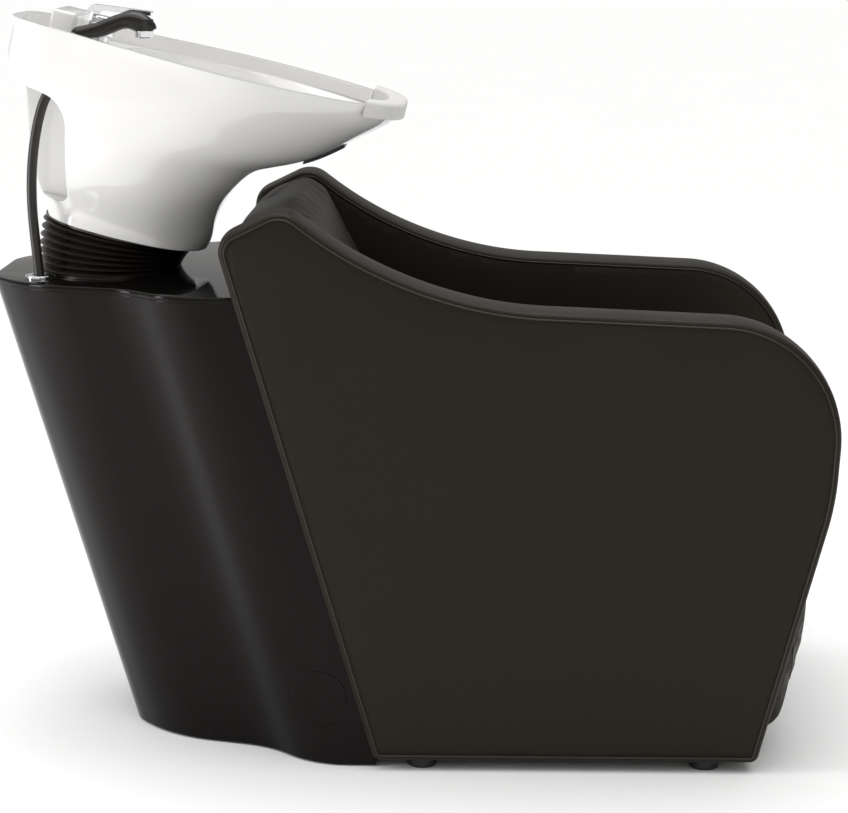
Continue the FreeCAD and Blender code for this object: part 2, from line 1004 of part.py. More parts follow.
def tilted_point(point):
    angle = math.radians(basin_tilt)
    return V(
        pivot.x + point.x * math.cos(angle) + point.z * math.sin(angle),
        point.y,
        pivot.z - point.x * math.sin(angle) + point.z * math.cos(angle),
    )


def tilt_fork():
    base = box(
        pivot.x - fork_base_length / 2, pivot.x + fork_base_length / 2,
        -fork_base_width / 2, fork_base_width / 2,
        fork_base_low, fork_base_low + fork_base_thickness,
    )
    shapes = [base]
    half = fork_width / 2
    for y in (-fork_half_gap - fork_thickness, fork_half_gap):
        ear = box(pivot.x - half, pivot.x + half, y, y + fork_thickness, fork_base_low, pivot.z)
        shapes.append(ear.fuse(rod(half, V(pivot.x, y, pivot.z), V(0, 1, 0), fork_thickness)))
    fork = joined(shapes)
    reach = fork_half_gap + fork_thickness + overrun
    bore = rod(pin_radius + running_gap, V(pivot.x, -reach, pivot.z), V(0, 1, 0), 2 * reach)
    return fork.cut(bore)


def tilt_pin():
    reach = fork_half_gap + fork_thickness + touch_gap
    start = V(pivot.x, -reach, pivot.z)
    shank = rod(pin_radius, start, V(0, 1, 0), 2 * reach)
    head = rod(pin_head_radius, start, V(0, -1, 0), pin_head_length)
    collar = rod(pin_head_radius, start + V(0, 2 * reach, 0), V(0, 1, 0), pin_head_length)
    return joined([shank, head, collar])


def tilt_bush():
    start = V(pivot.x, fork_half_gap - touch_gap - bush_length, pivot.z)
    return ring(bush_radius, pin_radius + running_gap, start, V(0, 1, 0), bush_length)


ear_outer = fork_half_gap - 2 * touch_gap - bush_length


def cradle_bolt_places():
    places = []
    for u in (cradle_ahead - cradle_length / 2 + cradle_bolt_inset,
              cradle_ahead + cradle_length / 2 - cradle_bolt_inset):
        for y in (-1, 1):
            places.append((u, y * (cradle_width / 2 - cradle_bolt_inset)))
    return places


def basin_cradle():
    top = basin_foot_height
    low = top - cradle_thickness
    plate = box(
        cradle_ahead - cradle_length / 2, cradle_ahead + cradle_length / 2,
        -cradle_width / 2, cradle_width / 2, low, top,
    )
    shapes = [plate]
    half = ear_width / 2
    for y in (-ear_outer, ear_outer - ear_thickness):
        ear = box(-half, half, y, y + ear_thickness, 0, low)
        shapes.append(ear.fuse(rod(half, V(0, y, 0), V(0, 1, 0), ear_thickness)))
    cradle = joined(shapes)
    reach = ear_outer + overrun
    cradle = cradle.cut(rod(pin_radius + running_gap, V(0, -reach, 0), V(0, 1, 0), 2 * reach))
    for u, y in cradle_bolt_places():
        hole = rod(cradle_bolt_radius + stud_clearance, V(u, y, low), V(0, 0, 1), cradle_thickness)
        cradle = cradle.cut(hole)
    return cradle


def cradle_bolt(u, y):
    low = basin_foot_height - cradle_thickness
    shank = rod(cradle_bolt_radius, V(u, y, low), V(0, 0, 1), cradle_thickness + basin_web)
    head = rod(cradle_bolt_head_radius, V(u, y, low), V(0, 0, -1), cradle_bolt_head_height)
    return shank.fuse(head)


# Basin outlines

# Plan outlines, from the rear to the front: shares of the half length and of the half width
rim_along_shares = (
    -1, -0.998, -0.978, -0.900, -0.684, -0.379, -0.073, 0.199, 0.470, 0.715, 0.878, 0.973, 1,
)
rim_across_shares = (
    0, 0.19, 0.362, 0.502, 0.63, 0.80, 0.945, 1, 0.936, 0.791, 0.621, 0.383, 0,
)
foot_along_shares = (
    -1, -0.982, -0.93, -0.78, -0.56, -0.31, -0.05, 0.2, 0.45, 0.66, 0.83, 0.95, 1,
)
foot_across_shares = (
    0, 0.235, 0.45, 0.70, 0.87, 0.96, 1, 1, 0.96, 0.85, 0.66, 0.38, 0,
)
bowl_along_shares = (
    -1, -0.999, -0.997, -0.98, -0.894, -0.74, -0.451, -0.065, 0.32, 0.667, 0.875, 0.971, 1,
)
bowl_across_shares = (
    0, 0.135, 0.27, 0.543, 0.715, 0.842, 0.941, 1, 0.932, 0.778, 0.606, 0.362, 0,
)

# Outer levels: shares of the height, and of the rear, front and half width at the rim
outer_level_shares = (
    (0.0, 0.572, 0.312, 0.494),
    (0.088, 0.62, 0.324, 0.502),
    (0.23, 0.72, 0.335, 0.638),
    (0.406, 0.83, 0.402, 0.779),
    (0.495, 0.88, 0.475, 0.835),
    (0.583, 0.93, 0.63, 0.881),
    (0.728, 0.984, 0.806, 0.94),
    (0.866, 0.992, 0.948, 0.979),
    (1.0, 1.0, 1.0, 1.0),
)
pocket_first_level = 4
belly_levels = (5, 6)
hollow_last_level = 7

# Bowl levels: shares of the depth from the floor, and of the rear, front and half width at the deck
bowl_level_shares = (
    (0.0, 1.202, -0.118, 0.146),
    (0.06, 1.214, 0.0, 0.338),
    (0.274, 1.167, 0.315, 0.694),
    (0.522, 1.071, 0.570, 0.840),
    (0.726, 1.024, 0.748, 0.922),
    (0.92, 1.0, 0.909, 0.968),
    (1.0, 1.0, 1.0, 1.0),
)

# Places behind the bowl: shares of the rear at the rim and of the height above the foot
scoop_shares = ((1.235, 0.731), (0.502, 0.647), (0.407, 0.110), (1.235, 0.117))
spine_back_shares = ((1.235, 0.710), (0.860, 0.696), (0.774, 0.428), (0.638, 0.131), (1.235, 0.131))
duct_rear_shares = ((0.782, 0.689), (0.716, 0.442), (0.634, 0.230), (0.576, 0.088))
duct_front_shares = ((0.461, 0.265), (0.444, 0.406), (0.420, 0.583), (0.407, 0.689))
duct_foot_share = 0.453


# Basin

up = V(0, 0, 1)
rim_height = basin_foot_height + basin_height
deck_height = rim_height - deck_drop
duct_roof = bowl_floor - duct_roof_drop


def behind(rear_share, height_share):
    """A place behind the bowl in side view."""
    return -basin_rear * rear_share, basin_foot_height + basin_height * height_share


def side_corners(shares, radii):
    return [(*behind(*pair), radius) for pair, radius in zip(shares, radii)]


def section(along_shares, across_shares, rear, front, half_width, w):
    """A closed smooth outline, symmetrical about the middle plane."""
    middle = (rear + front) / 2
    half_length = (front - rear) / 2
    near = []
    for a, b in zip(along_shares, across_shares):
        near.append(V(middle + a * half_length, b * half_width, w))
    far = [V(point.x, -point.y, w) for point in reversed(near[1:-1])]
    curve = Part.BSplineCurve()
    curve.interpolate(Points=near + far, PeriodicFlag=True)
    return Part.Wire(curve.toShape())


def blended(low, high, share):
    return [a + (b - a) * share for a, b in zip(low, high)]


def outer_section(share, rear_share, front_share, half_share, inset=0.0):
    return section(
        blended(foot_along_shares, rim_along_shares, share),
        blended(foot_across_shares, rim_across_shares, share),
        -basin_rear * rear_share + inset,
        basin_front * front_share - inset,
        basin_half_width * half_share - inset,
        basin_foot_height + basin_height * share,
    )


def basin_outer():
    return Part.makeLoft([outer_section(*level) for level in outer_level_shares], True)


def basin_bowl(grow=0.0):
    wires = []
    for share, rear_share, front_share, half_share in bowl_level_shares:
        wires.append(section(
            blended(foot_along_shares, bowl_along_shares, share),
            blended(foot_across_shares, bowl_across_shares, share),
            rear_share * bowl_rear - grow,
            front_share * bowl_front + grow,
            half_share * bowl_half_width + grow,
            bowl_floor + share * (deck_height - bowl_floor) - grow,
        ))
    return Part.makeLoft(wires, True)


def under_bowl_hollow():
    """The closed space between the bowl and the outer wall, above the foot."""
    levels = outer_level_shares[:hollow_last_level + 1]
    hollow = Part.makeLoft([outer_section(*level, basin_skin) for level in levels], True)
    top = basin_foot_height + levels[-1][0] * basin_height
    arch_u, arch_w = behind(*scoop_shares[1])
    root_u, root_w = behind(*scoop_shares[2])
    ahead = side_prism([
        (arch_u + basin_skin, top, 0),
        (arch_u + basin_skin, arch_w, 0),
        (root_u + basin_skin, root_w, 0),
        (root_u + basin_skin, basin_foot_height + basin_web, 0),
        (hollow_front, basin_foot_height + basin_web, 0),
        (hollow_front, top, 0),
    ], -basin_half_width, basin_half_width)
    return hollow.common(ahead).cut(basin_bowl(basin_skin))


def rim_prism(inset, w_low, w_high):
    wire = outer_section(1.0, 1.0, 1.0, 1.0, inset)
    face = Part.Face(wire)
    face.translate(V(0, 0, w_low - rim_height))
    return face.extrude(V(0, 0, w_high - w_low))


def under_deck_pocket():
    """The hollow under the tap deck, inside the outer wall."""
    ceiling = deck_height - deck_skin
    levels = outer_level_shares[pocket_first_level:]
    hollow = Part.makeLoft([outer_section(*level, pocket_wall) for level in levels], True)
    return hollow.common(box(
        -basin_rear, bowl_rear - pocket_wall, -basin_half_width, basin_half_width,
        pocket_floor, ceiling,
    ))


def duct():
    """The way for the hoses down the spine and forward under the bowl."""
    floor = basin_foot_height + basin_web
    rear = [behind(*shares) for shares in duct_rear_shares]
    front = [behind(*shares) for shares in duct_front_shares]
    corners = rear + [
        (rear[-1][0], floor),
        (web_opening_front, floor),
        (web_opening_front, duct_roof),
        (-basin_rear * duct_foot_share, duct_roof),
    ] + front
    return side_prism([(u, w, 0) for u, w in corners], -duct_half, duct_half)


def upstand():
    block = box(
        upstand_rear, upstand_rear + upstand_length, -upstand_half, upstand_half,
        deck_height - deck_skin / 2, deck_height + upstand_rise,
    )
    return block.makeFillet(
        upstand_round,
        [edge for edge in block.Edges if edge.BoundBox.ZMax > deck_height],
    )


guide_axis = V(math.cos(math.radians(guide_slope)), 0, math.sin(math.radians(guide_slope)))


def guide_line(reach):
    """A point on the hand shower guide's axis, reach above the deck."""
    return V(-shower_behind, -shower_offset, deck_height) + guide_axis * reach


def waste_line(radius, w_low, w_high):
    return rod(radius, V(-waste_behind, 0, w_low), up, w_high - w_low)


def ceramic_basin():
    body = basin_outer()
    body = body.cut(basin_bowl())
    recess = rim_prism(rim_width, deck_height, rim_height + overrun)
    body = body.cut(recess)
    body = body.cut(under_deck_pocket())
    body = body.cut(under_bowl_hollow())
    scoop = side_corners(scoop_shares, (0, scoop_round, scoop_foot_round, 0))
    for low, high in ((spine_half, basin_half_width), (-basin_half_width, -spine_half)):
        body = body.cut(side_prism(scoop, low, high))
    spine_back = side_corners(spine_back_shares, (0, spine_back_round, scoop_round, 0, 0))
    body = body.cut(side_prism(spine_back, -basin_half_width, basin_half_width))
    body = body.cut(duct())
    body = body.cut(box(
        web_opening_rear, web_opening_front, -web_opening_half, web_opening_half,
        basin_foot_height - overrun, basin_foot_height + basin_web,
    ))
    body = body.cut(waste_line(waste_radius + waste_clearance, basin_foot_height, rim_height))
    body = body.fuse(upstand())
    body = body.cut(box(
        neck_rest_start - touch_gap, basin_front * 2, -basin_half_width, basin_half_width,
        neck_rest_low - touch_gap, rim_height + overrun,
    ))
    mixer_hole = rod(mixer_hole_radius, V(-mixer_behind, 0, pocket_floor), up, rim_height)
    body = body.cut(mixer_hole)
    hose_way = guide_line(-2 * guide_length)
    guide_hole = rod(guide_hole_radius, hose_way, guide_axis, 3 * guide_length)
    body = body.cut(guide_hole)
    for u, y in cradle_bolt_places():
        depth = basin_web + stud_clearance
        start = V(u, y, basin_foot_height)
        body = body.cut(rod(cradle_bolt_radius + stud_clearance, start, up, depth))
    return body


def neck_rest():
    """A soft crescent that caps the lip at the front."""
    outer = section(
        rim_along_shares, rim_across_shares, -basin_rear, basin_front + neck_rest_overhang,
        basin_half_width + neck_rest_side, neck_rest_low,
    )
    pad = Part.Face(outer).extrude(V(0, 0, neck_rest_height))
    inset = rim_width + neck_rest_lap
    pad = pad.cut(rim_prism(inset, neck_rest_low - overrun, neck_rest_low + 2 * overrun))
    pad = pad.common(box(
        neck_rest_start, basin_front * 2, -basin_half_width, basin_half_width,
        neck_rest_low, neck_rest_low + neck_rest_height,
    ))
    top = neck_rest_low + neck_rest_height - tolerance
    return pad.makeFillet(neck_rest_round, [e for e in pad.Edges if e.BoundBox.ZMin > top])


def front_bumper():
    """A thin pad that follows the belly, under the front of the basin."""
    low, high = [outer_level_shares[i] for i in belly_levels]
    run = basin_front * (high[2] - low[2])
    rise = basin_height * (high[0] - low[0])
    away = V(rise, 0, -run).normalize()
    seat = basin_outer()
    face = seat.copy()
    seat.translate(away * touch_gap)
    face.translate(away * (touch_gap + bumper_thickness))
    return face.cut(seat).common(box(
        bumper_rear, bumper_front, -bumper_half, bumper_half, basin_foot_height, rim_height,
    ))


def basin_waste():
    low = bowl_floor - waste_length
    tube = waste_line(waste_radius, low, bowl_floor)
    flange = waste_line(waste_flange_radius, bowl_floor, bowl_floor + waste_flange)
    bore = waste_line(waste_radius - waste_wall, low - overrun, rim_height)
    return joined([tube, flange]).cut(bore)


def waste_nut():
    top = duct_roof - touch_gap
    nut = waste_line(waste_nut_radius, top - waste_nut_height, top)
    return nut.cut(waste_line(waste_radius + touch_gap, 0, rim_height))


def strainer():
    low = bowl_floor + waste_flange
    plate = waste_line(strainer_radius, low, low + strainer_thickness)
    for count, share in strainer_hole_rings:
        for i in range(count):
            angle = 2 * math.pi * i / count
            reach = strainer_radius * share
            place = V(reach * math.cos(angle) - waste_behind, reach * math.sin(angle), low)
            plate = plate.cut(rod(strainer_hole_radius, place, up, strainer_thickness))
    stem = waste_line(strainer_stem_radius, low - strainer_stem_length, low)
    top = low + strainer_thickness
    knob = waste_line(strainer_knob_radius, top, top + strainer_knob_height)
    return joined([plate, stem, knob])


# Mixer

def mixer_line(radius, w_low, w_high):
    return rod(radius, V(-mixer_behind, 0, w_low), up, w_high - w_low)


mixer_neck_low = deck_height + mixer_foot_height
mixer_head_low = mixer_neck_low + mixer_neck_height
mixer_head_top = mixer_head_low + mixer_head_height
mixer_tail_low = deck_height - mixer_tail_length
mixer_cap_top = mixer_head_top + touch_gap + mixer_cap_height
lever_pin = V(-mixer_behind - lever_pin_behind, 0, mixer_cap_top + lever_pin_rise)


def mixer_body():
    head = mixer_line(mixer_head_radius, mixer_head_low, mixer_head_top)
    head = head.makeFillet(mixer_round, [head.Edges[0], head.Edges[2]])
    body = joined([
        mixer_line(mixer_foot_radius, deck_height, mixer_neck_low),
        mixer_line(mixer_neck_radius, mixer_neck_low, mixer_head_low),
        head,
        mixer_line(mixer_tail_radius, mixer_tail_low, deck_height),
    ])
    for y in (-supply_apart, supply_apart):
        start = V(-mixer_behind, y, mixer_tail_low)
        body = body.cut(rod(supply_radius + touch_gap, start, up, supply_socket_depth + touch_gap))
    return body


def mixer_nut():
    top = deck_height - deck_skin - touch_gap
    nut = mixer_line(mixer_nut_radius, top - mixer_nut_height, top)
    return nut.cut(mixer_line(mixer_tail_radius + touch_gap, 0, rim_height))


def lug_round(radius, half):
    return rod(radius, V(lever_pin.x, -half, lever_pin.z), V(0, 1, 0), 2 * half)


def mixer_cap():
    cap = mixer_line(mixer_cap_radius, mixer_head_top + touch_gap, mixer_cap_top)
    cap = cap.makeFillet(mixer_round, [cap.Edges[0]])
    lug = box(
        lever_pin.x - lever_lug_reach, lever_pin.x + lever_lug_reach,
        -lever_lug_half, lever_lug_half,
        mixer_cap_top - mixer_cap_height / 2, lever_pin.z,
    )
    lug = lug.fuse(lug_round(lever_lug_reach, lever_lug_half))
    bore = rod(
        lever_pin_radius + running_gap, V(lever_pin.x, -overrun, lever_pin.z),
        V(0, 1, 0), 2 * overrun,
    )
    return cap.fuse(lug).removeSplitter().cut(bore)


def mixer_lever():
    """A flat bar over the cap, narrower at its tip, bent down behind the pin."""
    axis_u = -mixer_behind
    top = mixer_cap_top
    tip_u = axis_u + lever_tip_ahead
    tip_w = top + lever_tip_rise
    heel_u = axis_u - lever_heel_behind
    heel_w = top - lever_heel_drop
    side_view = side_prism([
        (heel_u, heel_w, lever_round),
        (axis_u - lever_shoulder_behind, top + lever_shoulder_rise, lever_thickness / 2),
        (tip_u, tip_w, lever_round),
        (tip_u, tip_w - lever_thickness, lever_round),
        (lever_pin.x + 2 * lever_lug_reach, lever_pin.z, lever_round),
        (lever_pin.x + lever_lug_reach, top + lever_belly_rise, 0),
        (lever_pin.x - 2 * lever_lug_reach, top + lever_belly_rise, 0),
        (heel_u + lever_heel_thickness, heel_w - lever_heel_slant, lever_round),
    ], -lever_rear_half, lever_rear_half)
    plan = plan_face([
        (heel_u - touch_gap, -lever_rear_half, 0),
        (tip_u, -lever_tip_half, lever_round),
        (tip_u, lever_tip_half, lever_round),
        (heel_u - touch_gap, lever_rear_half, 0),
    ], 0).extrude(V(0, 0, 2 * rim_height))
    lever = side_view.common(plan)
    room = lever_lug_reach + touch_gap
    low = top - overrun
    swing = math.tan(math.radians(lever_lift_room)) * (lever_pin.z - low)
    half = lever_lug_half + touch_gap
    slot = side_prism([
        (lever_pin.x - room, lever_pin.z, 0),
        (lever_pin.x - room - swing, low, 0),
        (lever_pin.x + room, low, 0),
        (lever_pin.x + room, lever_pin.z, 0),
    ], -half, half)
    slot = slot.fuse(lug_round(room, half))
    pin = lug_round(lever_pin_radius, lever_rear_half - lever_pin_recess)
    return lever.cut(slot).fuse(pin)


# Hand shower

def shower_guide():
    tube = rod(guide_radius, guide_line(-guide_length), guide_axis, guide_length + guide_collar)
    foot = V(-shower_behind, -shower_offset, deck_height)
    flange = rod(guide_flange_radius, foot, up, guide_flange)
    bore = rod(
        guide_bore, guide_line(-guide_length - overrun), guide_axis,
        guide_length + guide_collar + 2 * overrun,
    )
    return joined([tube, flange]).cut(bore)


def shower_station(ahead_share, rise_share, slope, radius_share):
    centre = guide_line(0) + V(ahead_share * shower_reach, 0, rise_share * shower_rise)
    angle = math.radians(slope)
    heading = V(math.cos(angle), 0, math.sin(angle))
    circle = Part.Circle(centre, heading, radius_share * shower_neck_radius)
    return Part.Wire([circle.toShape()])


def world_down():
    angle = math.radians(basin_tilt)
    return V(math.sin(angle), 0, -math.cos(angle))


def nozzle_rod(radius, low, high):
    """A bar down the nozzle's axis, between two distances from its middle."""
    middle = guide_line(0) + V(nozzle_ahead, 0, nozzle_rise)
    return rod(radius, middle + world_down() * low, world_down(), high - low)


def spray_ring(clearance=0.0):
    """The bright ring round the nozzle's end."""
    low = nozzle_length - spray_ring_length
    inner = nozzle_radius - spray_ring_wall - clearance
    outside = nozzle_rod(nozzle_radius + clearance, low - clearance, nozzle_length + clearance)
    return outside.cut(nozzle_rod(inner, low - overrun, nozzle_length + overrun))


def hand_shower():
    stations = [shower_station(*shares) for shares in shower_station_shares]
    neck = Part.makeLoft(stations, True)
    collar_low = guide_collar + touch_gap
    collar = rod(shower_collar_radius, guide_line(collar_low), guide_axis, shower_collar)
    shank = rod(shank_radius, guide_line(collar_low - shank_length), guide_axis, shank_length)
    throat_radius = shower_station_shares[0][3] * shower_neck_radius
    throat = rod(throat_radius, guide_line(collar_low), guide_axis, throat_length)
    nozzle = nozzle_rod(nozzle_radius, -nozzle_length, nozzle_length)
    body = joined([neck, throat, collar, shank, nozzle])
    body = body.cut(spray_ring(touch_gap))
    recess_low = nozzle_length - spray_face_depth
    body = body.cut(nozzle_rod(spray_face_radius, recess_low, nozzle_length + overrun))
    socket_depth = shank_length / 2
    socket_start = guide_line(collar_low - shank_length)
    return body.cut(rod(hose_radius + touch_gap, socket_start, guide_axis, socket_depth))


def spray_face():
    """A soft disc with raised pips, let into the nozzle's end."""
    seat = nozzle_length - spray_face_depth + touch_gap
    disc = nozzle_rod(spray_face_radius - touch_gap, seat, seat + spray_face_depth)
    across = V(0, 1, 0)
    ahead = world_down().cross(across)
    pips = []
    for count, share in spray_pip_shares:
        for i in range(count):
            angle = 2 * math.pi * i / count
            reach = spray_face_radius * share
            pip = nozzle_rod(spray_pip_radius, seat, seat + spray_face_depth + spray_pip_height)
            pip.translate(across * (reach * math.cos(angle)) + ahead * (reach * math.sin(angle)))
            pips.append(pip)
    return joined([disc] + pips)


def hose_tail():
    """The length of hose inside the guide, from the shank down."""
    high = guide_collar + touch_gap - shank_length / 2 - touch_gap
    return rod(hose_radius, guide_line(-guide_length), guide_axis, guide_length + high)


def hose_points():
    points = [tilted_point(guide_line(-guide_length - touch_gap))]
    points += [V(*point) for point in hose_route]
    points.append(V(grommet_x, grommet_y, pedestal_height + grommet_height / 2))
    return points


def shower_hose():
    return tube_along(corner_wire(route_corners(hose_points()), closed=False), hose_radius)


def hose_grommet():
    place = V(grommet_x, grommet_y, pedestal_height)
    flange = rod(grommet_radius, place, up, grommet_height)
    flange = flange.makeFillet(grommet_height / 3, [flange.Edges[0]])
    neck_low = place - up * grommet_neck
    neck = rod(grommet_neck, neck_low, up, grommet_neck)
    body = flange.fuse(neck)
    body = body.cut(rod(grommet_neck - touch_gap * 5, place, up, grommet_height))
    return body.cut(rod(hose_radius, neck_low, up, grommet_neck + grommet_height))


# Bellows

def bellows_section(share, reach):
    """A level of the bellows, turned part of the way with the basin."""
    along_half = bellows_base_along + (bellows_top_along - bellows_base_along) * share
    across_half = bellows_base_across + (bellows_top_across - bellows_base_across) * share
    low = pivot_drop + touch_gap
    high = basin_foot_height - bellows_flange - touch_gap
    w = low + (high - low) * share
    centre = V(-bellows_behind, 0, w)
    major, minor = along_half + reach, across_half + reach
    points = []
    for i in range(bellows_points):
        angle = 2 * math.pi * i / bellows_points
        points.append(centre + V(major * math.cos(angle), minor * math.sin(angle), 0))
    curve = Part.BSplineCurve()
    curve.interpolate(Points=points, PeriodicFlag=True)
    wire = Part.Wire(curve.toShape())
    wire.rotate(V(0, 0, 0), V(0, 1, 0), basin_tilt * share)
    wire.translate(pivot)
    return wire


def bellows_skin(inset):
    levels = 2 * bellows_folds
    wires = []
    for i in range(levels + 1):
        reach = bellows_fold_reach if i % 2 else -bellows_fold_reach
        wires.append(bellows_section(i / levels, reach - inset))
    return Part.makeLoft(wires, True, True)


def bellows():
    skin = bellows_skin(0).cut(bellows_skin(bellows_wall))
    reach = bellows_flange_reach
    low_outer = Part.Face(bellows_section(0, reach)).extrude(up * bellows_flange)
    low_inner = Part.Face(bellows_section(0, -2 * reach)).extrude(up * bellows_flange)
    lean_up = tilted_point(up) - tilted_point(V(0, 0, 0))
    high_outer = Part.Face(bellows_section(1, reach)).extrude(lean_up * bellows_flange)
    high_inner = Part.Face(bellows_section(1, -2 * reach)).extrude(lean_up * bellows_flange)
    return joined([skin, low_outer.cut(low_inner), high_outer.cut(high_inner)])


# Plumbing

def drain_hose_wire():
    lap_w = bowl_floor - waste_length + drain_hose_lap
    top = tilted_point(V(-waste_behind, 0, lap_w))
    middle = tilted_point(V(-waste_behind, 0, lap_w - drain_hose_straight))
    low = V(trap_x, 0, trap_top + trap_wall)
    knee = V(trap_x, 0, (middle.z + low.z) / 2)
    return corner_wire(route_corners([top, middle, knee, low]), closed=False)


def drain_hose():
    wire = drain_hose_wire()
    outer = tube_along(wire, drain_hose_radius)
    return outer.cut(tube_along(wire, drain_hose_radius - drain_hose_wall))


def trap_line(radius, z_low, z_high):
    return rod(radius, V(trap_x, 0, z_low), up, z_high - z_low)


def drain_trap():
    low = trap_top - trap_height
    body = trap_line(trap_radius, low, trap_top)
    body = body.fuse(trap_line(trap_neck_radius, trap_top, trap_top + trap_neck_height))
    body = body.cut(trap_line(trap_radius - trap_wall, low + trap_wall, trap_top - trap_wall))
    seat = trap_line(drain_hose_radius + touch_gap, trap_top, trap_top + 2 * trap_neck_height)
    body = body.cut(seat)
    bore_radius = drain_hose_radius - drain_hose_wall
    body = body.cut(trap_line(bore_radius, low + trap_wall, trap_top + trap_wall))
    outlet_start = V(trap_x, 0, trap_outlet_z)
    return body.cut(rod(waste_pipe_radius + touch_gap, outlet_start, V(0, 1, 0), 2 * trap_radius))


def waste_pipe():
    """From the trap down to a collar on the base plate, with a spigot through the plate."""
    start = V(trap_x, trap_radius - trap_wall / 2, trap_outlet_z)
    turn = V(trap_x, waste_pipe_y, trap_outlet_z)
    drop = V(waste_pipe_x, waste_pipe_y, waste_pipe_turn)
    end = V(waste_pipe_x, waste_pipe_y, spigot_low)
    corners = [(start, 0), (turn, waste_pipe_bend), (drop, waste_pipe_bend), (end, 0)]
    wire = corner_wire(corners, closed=False)
    foot = V(waste_pipe_x, waste_pipe_y, plate_top)
    outer = joined([
        tube_along(wire, waste_pipe_radius),
        rod(waste_collar_radius, foot, up, waste_collar),
        rod(waste_spigot_radius, end, up, plate_top - spigot_low),
    ])
    return outer.cut(tube_along(wire, waste_pipe_radius - waste_pipe_wall))


def supply_points(side):
    top_w = mixer_tail_low + supply_socket_depth
    places = [tilted_point(V(-mixer_behind, side * supply_apart, top_w))]
    places += [tilted_point(V(u, side * y, w)) for u, y, w in supply_on_bowl]
    places += [V(x, side * y, z) for x, y, z in supply_in_pedestal]
    socket = plate_top + valve_length - valve_socket_depth + touch_gap
    places.append(V(valve_x, side * valve_y, socket))
    return places


def supply_hose(side):
    wire = corner_wire(route_corners(supply_points(side)), closed=False)
    return tube_along(wire, supply_radius)


def stop_valve(side):
    """A valve on the base plate, with its inlet stub through the plate."""
    place = V(valve_x, side * valve_y, plate_top)
    knob_place = V(valve_x, side * valve_y, valve_knob_z)
    knob_start = knob_place + V(valve_radius + valve_stub_radius / 2, 0, 0)
    stub_end = V(valve_x, side * valve_y, spigot_low)
    body = joined([
        rod(valve_radius, place, up, valve_length),
        rod(valve_flange_radius, place, up, valve_flange),
        rod(valve_stub_radius, stub_end, up, plate_top - spigot_low),
        rod(valve_stub_radius / 2, knob_place, V(1, 0, 0), valve_radius + valve_stub_radius),
        rod(valve_knob_radius, knob_start, V(1, 0, 0), valve_knob_length),
    ])
    socket_low = place + up * (valve_length - valve_socket_depth)
    body = body.cut(rod(supply_radius + touch_gap, socket_low, up, 2 * valve_socket_depth))
    return body.cut(rod(valve_stub_bore, stub_end, up, valve_bore_depth))


# Nodes

def bored_back_board():
    board = back_board()
    return without(board, [link_bolt_hole(y, z) for y, z in link_bolt_places()])


def bracket_sets():
    brackets, screws, holes = [], [], []
    for x, z in bracket_screw_places():
        clearances = bracket_screws(x, z, stud_clearance)
        brackets += both_sides(without(corner_bracket(x, z), clearances))
        for shape in bracket_screws(x, z):
            screws += both_sides(shape)
        for shape in clearances:
            holes += both_sides(shape)
    return brackets, screws, holes


def nodes():
    brackets, screws, holes = bracket_sets()
    panel = side_panel()
    board = without(side_board(), holes)
    foot_pads = [seat_foot(place) for place in foot_places()]
    basin = ceramic_basin()
    yield "side_panel_right", panel.mirror(V(0, 0, 0), V(0, 1, 0))
    yield "side_panel_left", panel
    yield "backrest_cushion", backrest_cushion()
    yield "seat_cushion", seat_cushion()
    yield "front_apron", front_apron()
    yield "back_board", bored_back_board()
    yield "seat_deck", seat_deck()
    yield "side_boards", grouped(both_sides(board))
    yield "seat_rails", grouped([without(rail, holes) for rail in seat_rails()] + apron_cleats())
    yield "corner_brackets", grouped(brackets)
    yield "bracket_screws", grouped(screws)
    yield "seat_feet", grouped([half for pad in foot_pads for half in both_sides(pad)])
    yield "pedestal_shell", pedestal_shell()
    yield "pedestal_top", pedestal_top()
    yield "rear_door", rear_door()
    yield "access_cap_right", access_cap(-1)
    yield "access_cap_left", access_cap(1)
    yield "base_frame", base_frame()
    yield "link_frame", link_frame()
    yield "link_bolts", grouped([link_bolt(y, z) for y, z in link_bolt_places()])
    yield "base_glides", grouped([glide(place) for place in glide_places()])
    yield "tilt_fork", tilt_fork()
    yield "tilt_pin", tilt_pin()
    yield "tilt_bushes", grouped(both_sides(tilt_bush()))
    yield "basin_cradle", tilted(basin_cradle())
    yield "cradle_bolts", tilted(grouped([cradle_bolt(u, y) for u, y in cradle_bolt_places()]))
    yield "basin", tilted(basin)
    yield "neck_rest", tilted(neck_rest())
    yield "front_bumper", tilted(front_bumper())
    yield "basin_waste", tilted(basin_waste())
    yield "waste_nut", tilted(waste_nut())
    yield "strainer", tilted(strainer())
    yield "mixer_body", tilted(mixer_body())
    yield "mixer_nut", tilted(mixer_nut())
    yield "mixer_cap", tilted(mixer_cap())
    yield "mixer_lever", tilted(mixer_lever())
    yield "shower_guide", tilted(shower_guide())
    yield "hand_shower", tilted(hand_shower())
    yield "spray_ring", tilted(spray_ring())
    yield "spray_face", tilted(spray_face())
    yield "hose_tail", tilted(hose_tail())
    yield "shower_hose", shower_hose()
    yield "hose_grommet", hose_grommet()
    yield "bellows", bellows()
    yield "drain_hose", drain_hose()
    yield "drain_trap", drain_trap()
    yield "waste_pipe", waste_pipe()
    yield "supply_hose_right", supply_hose(-1)
    yield "supply_hose_left", supply_hose(1)
    yield "stop_valves", grouped([stop_valve(1), stop_valve(-1)])


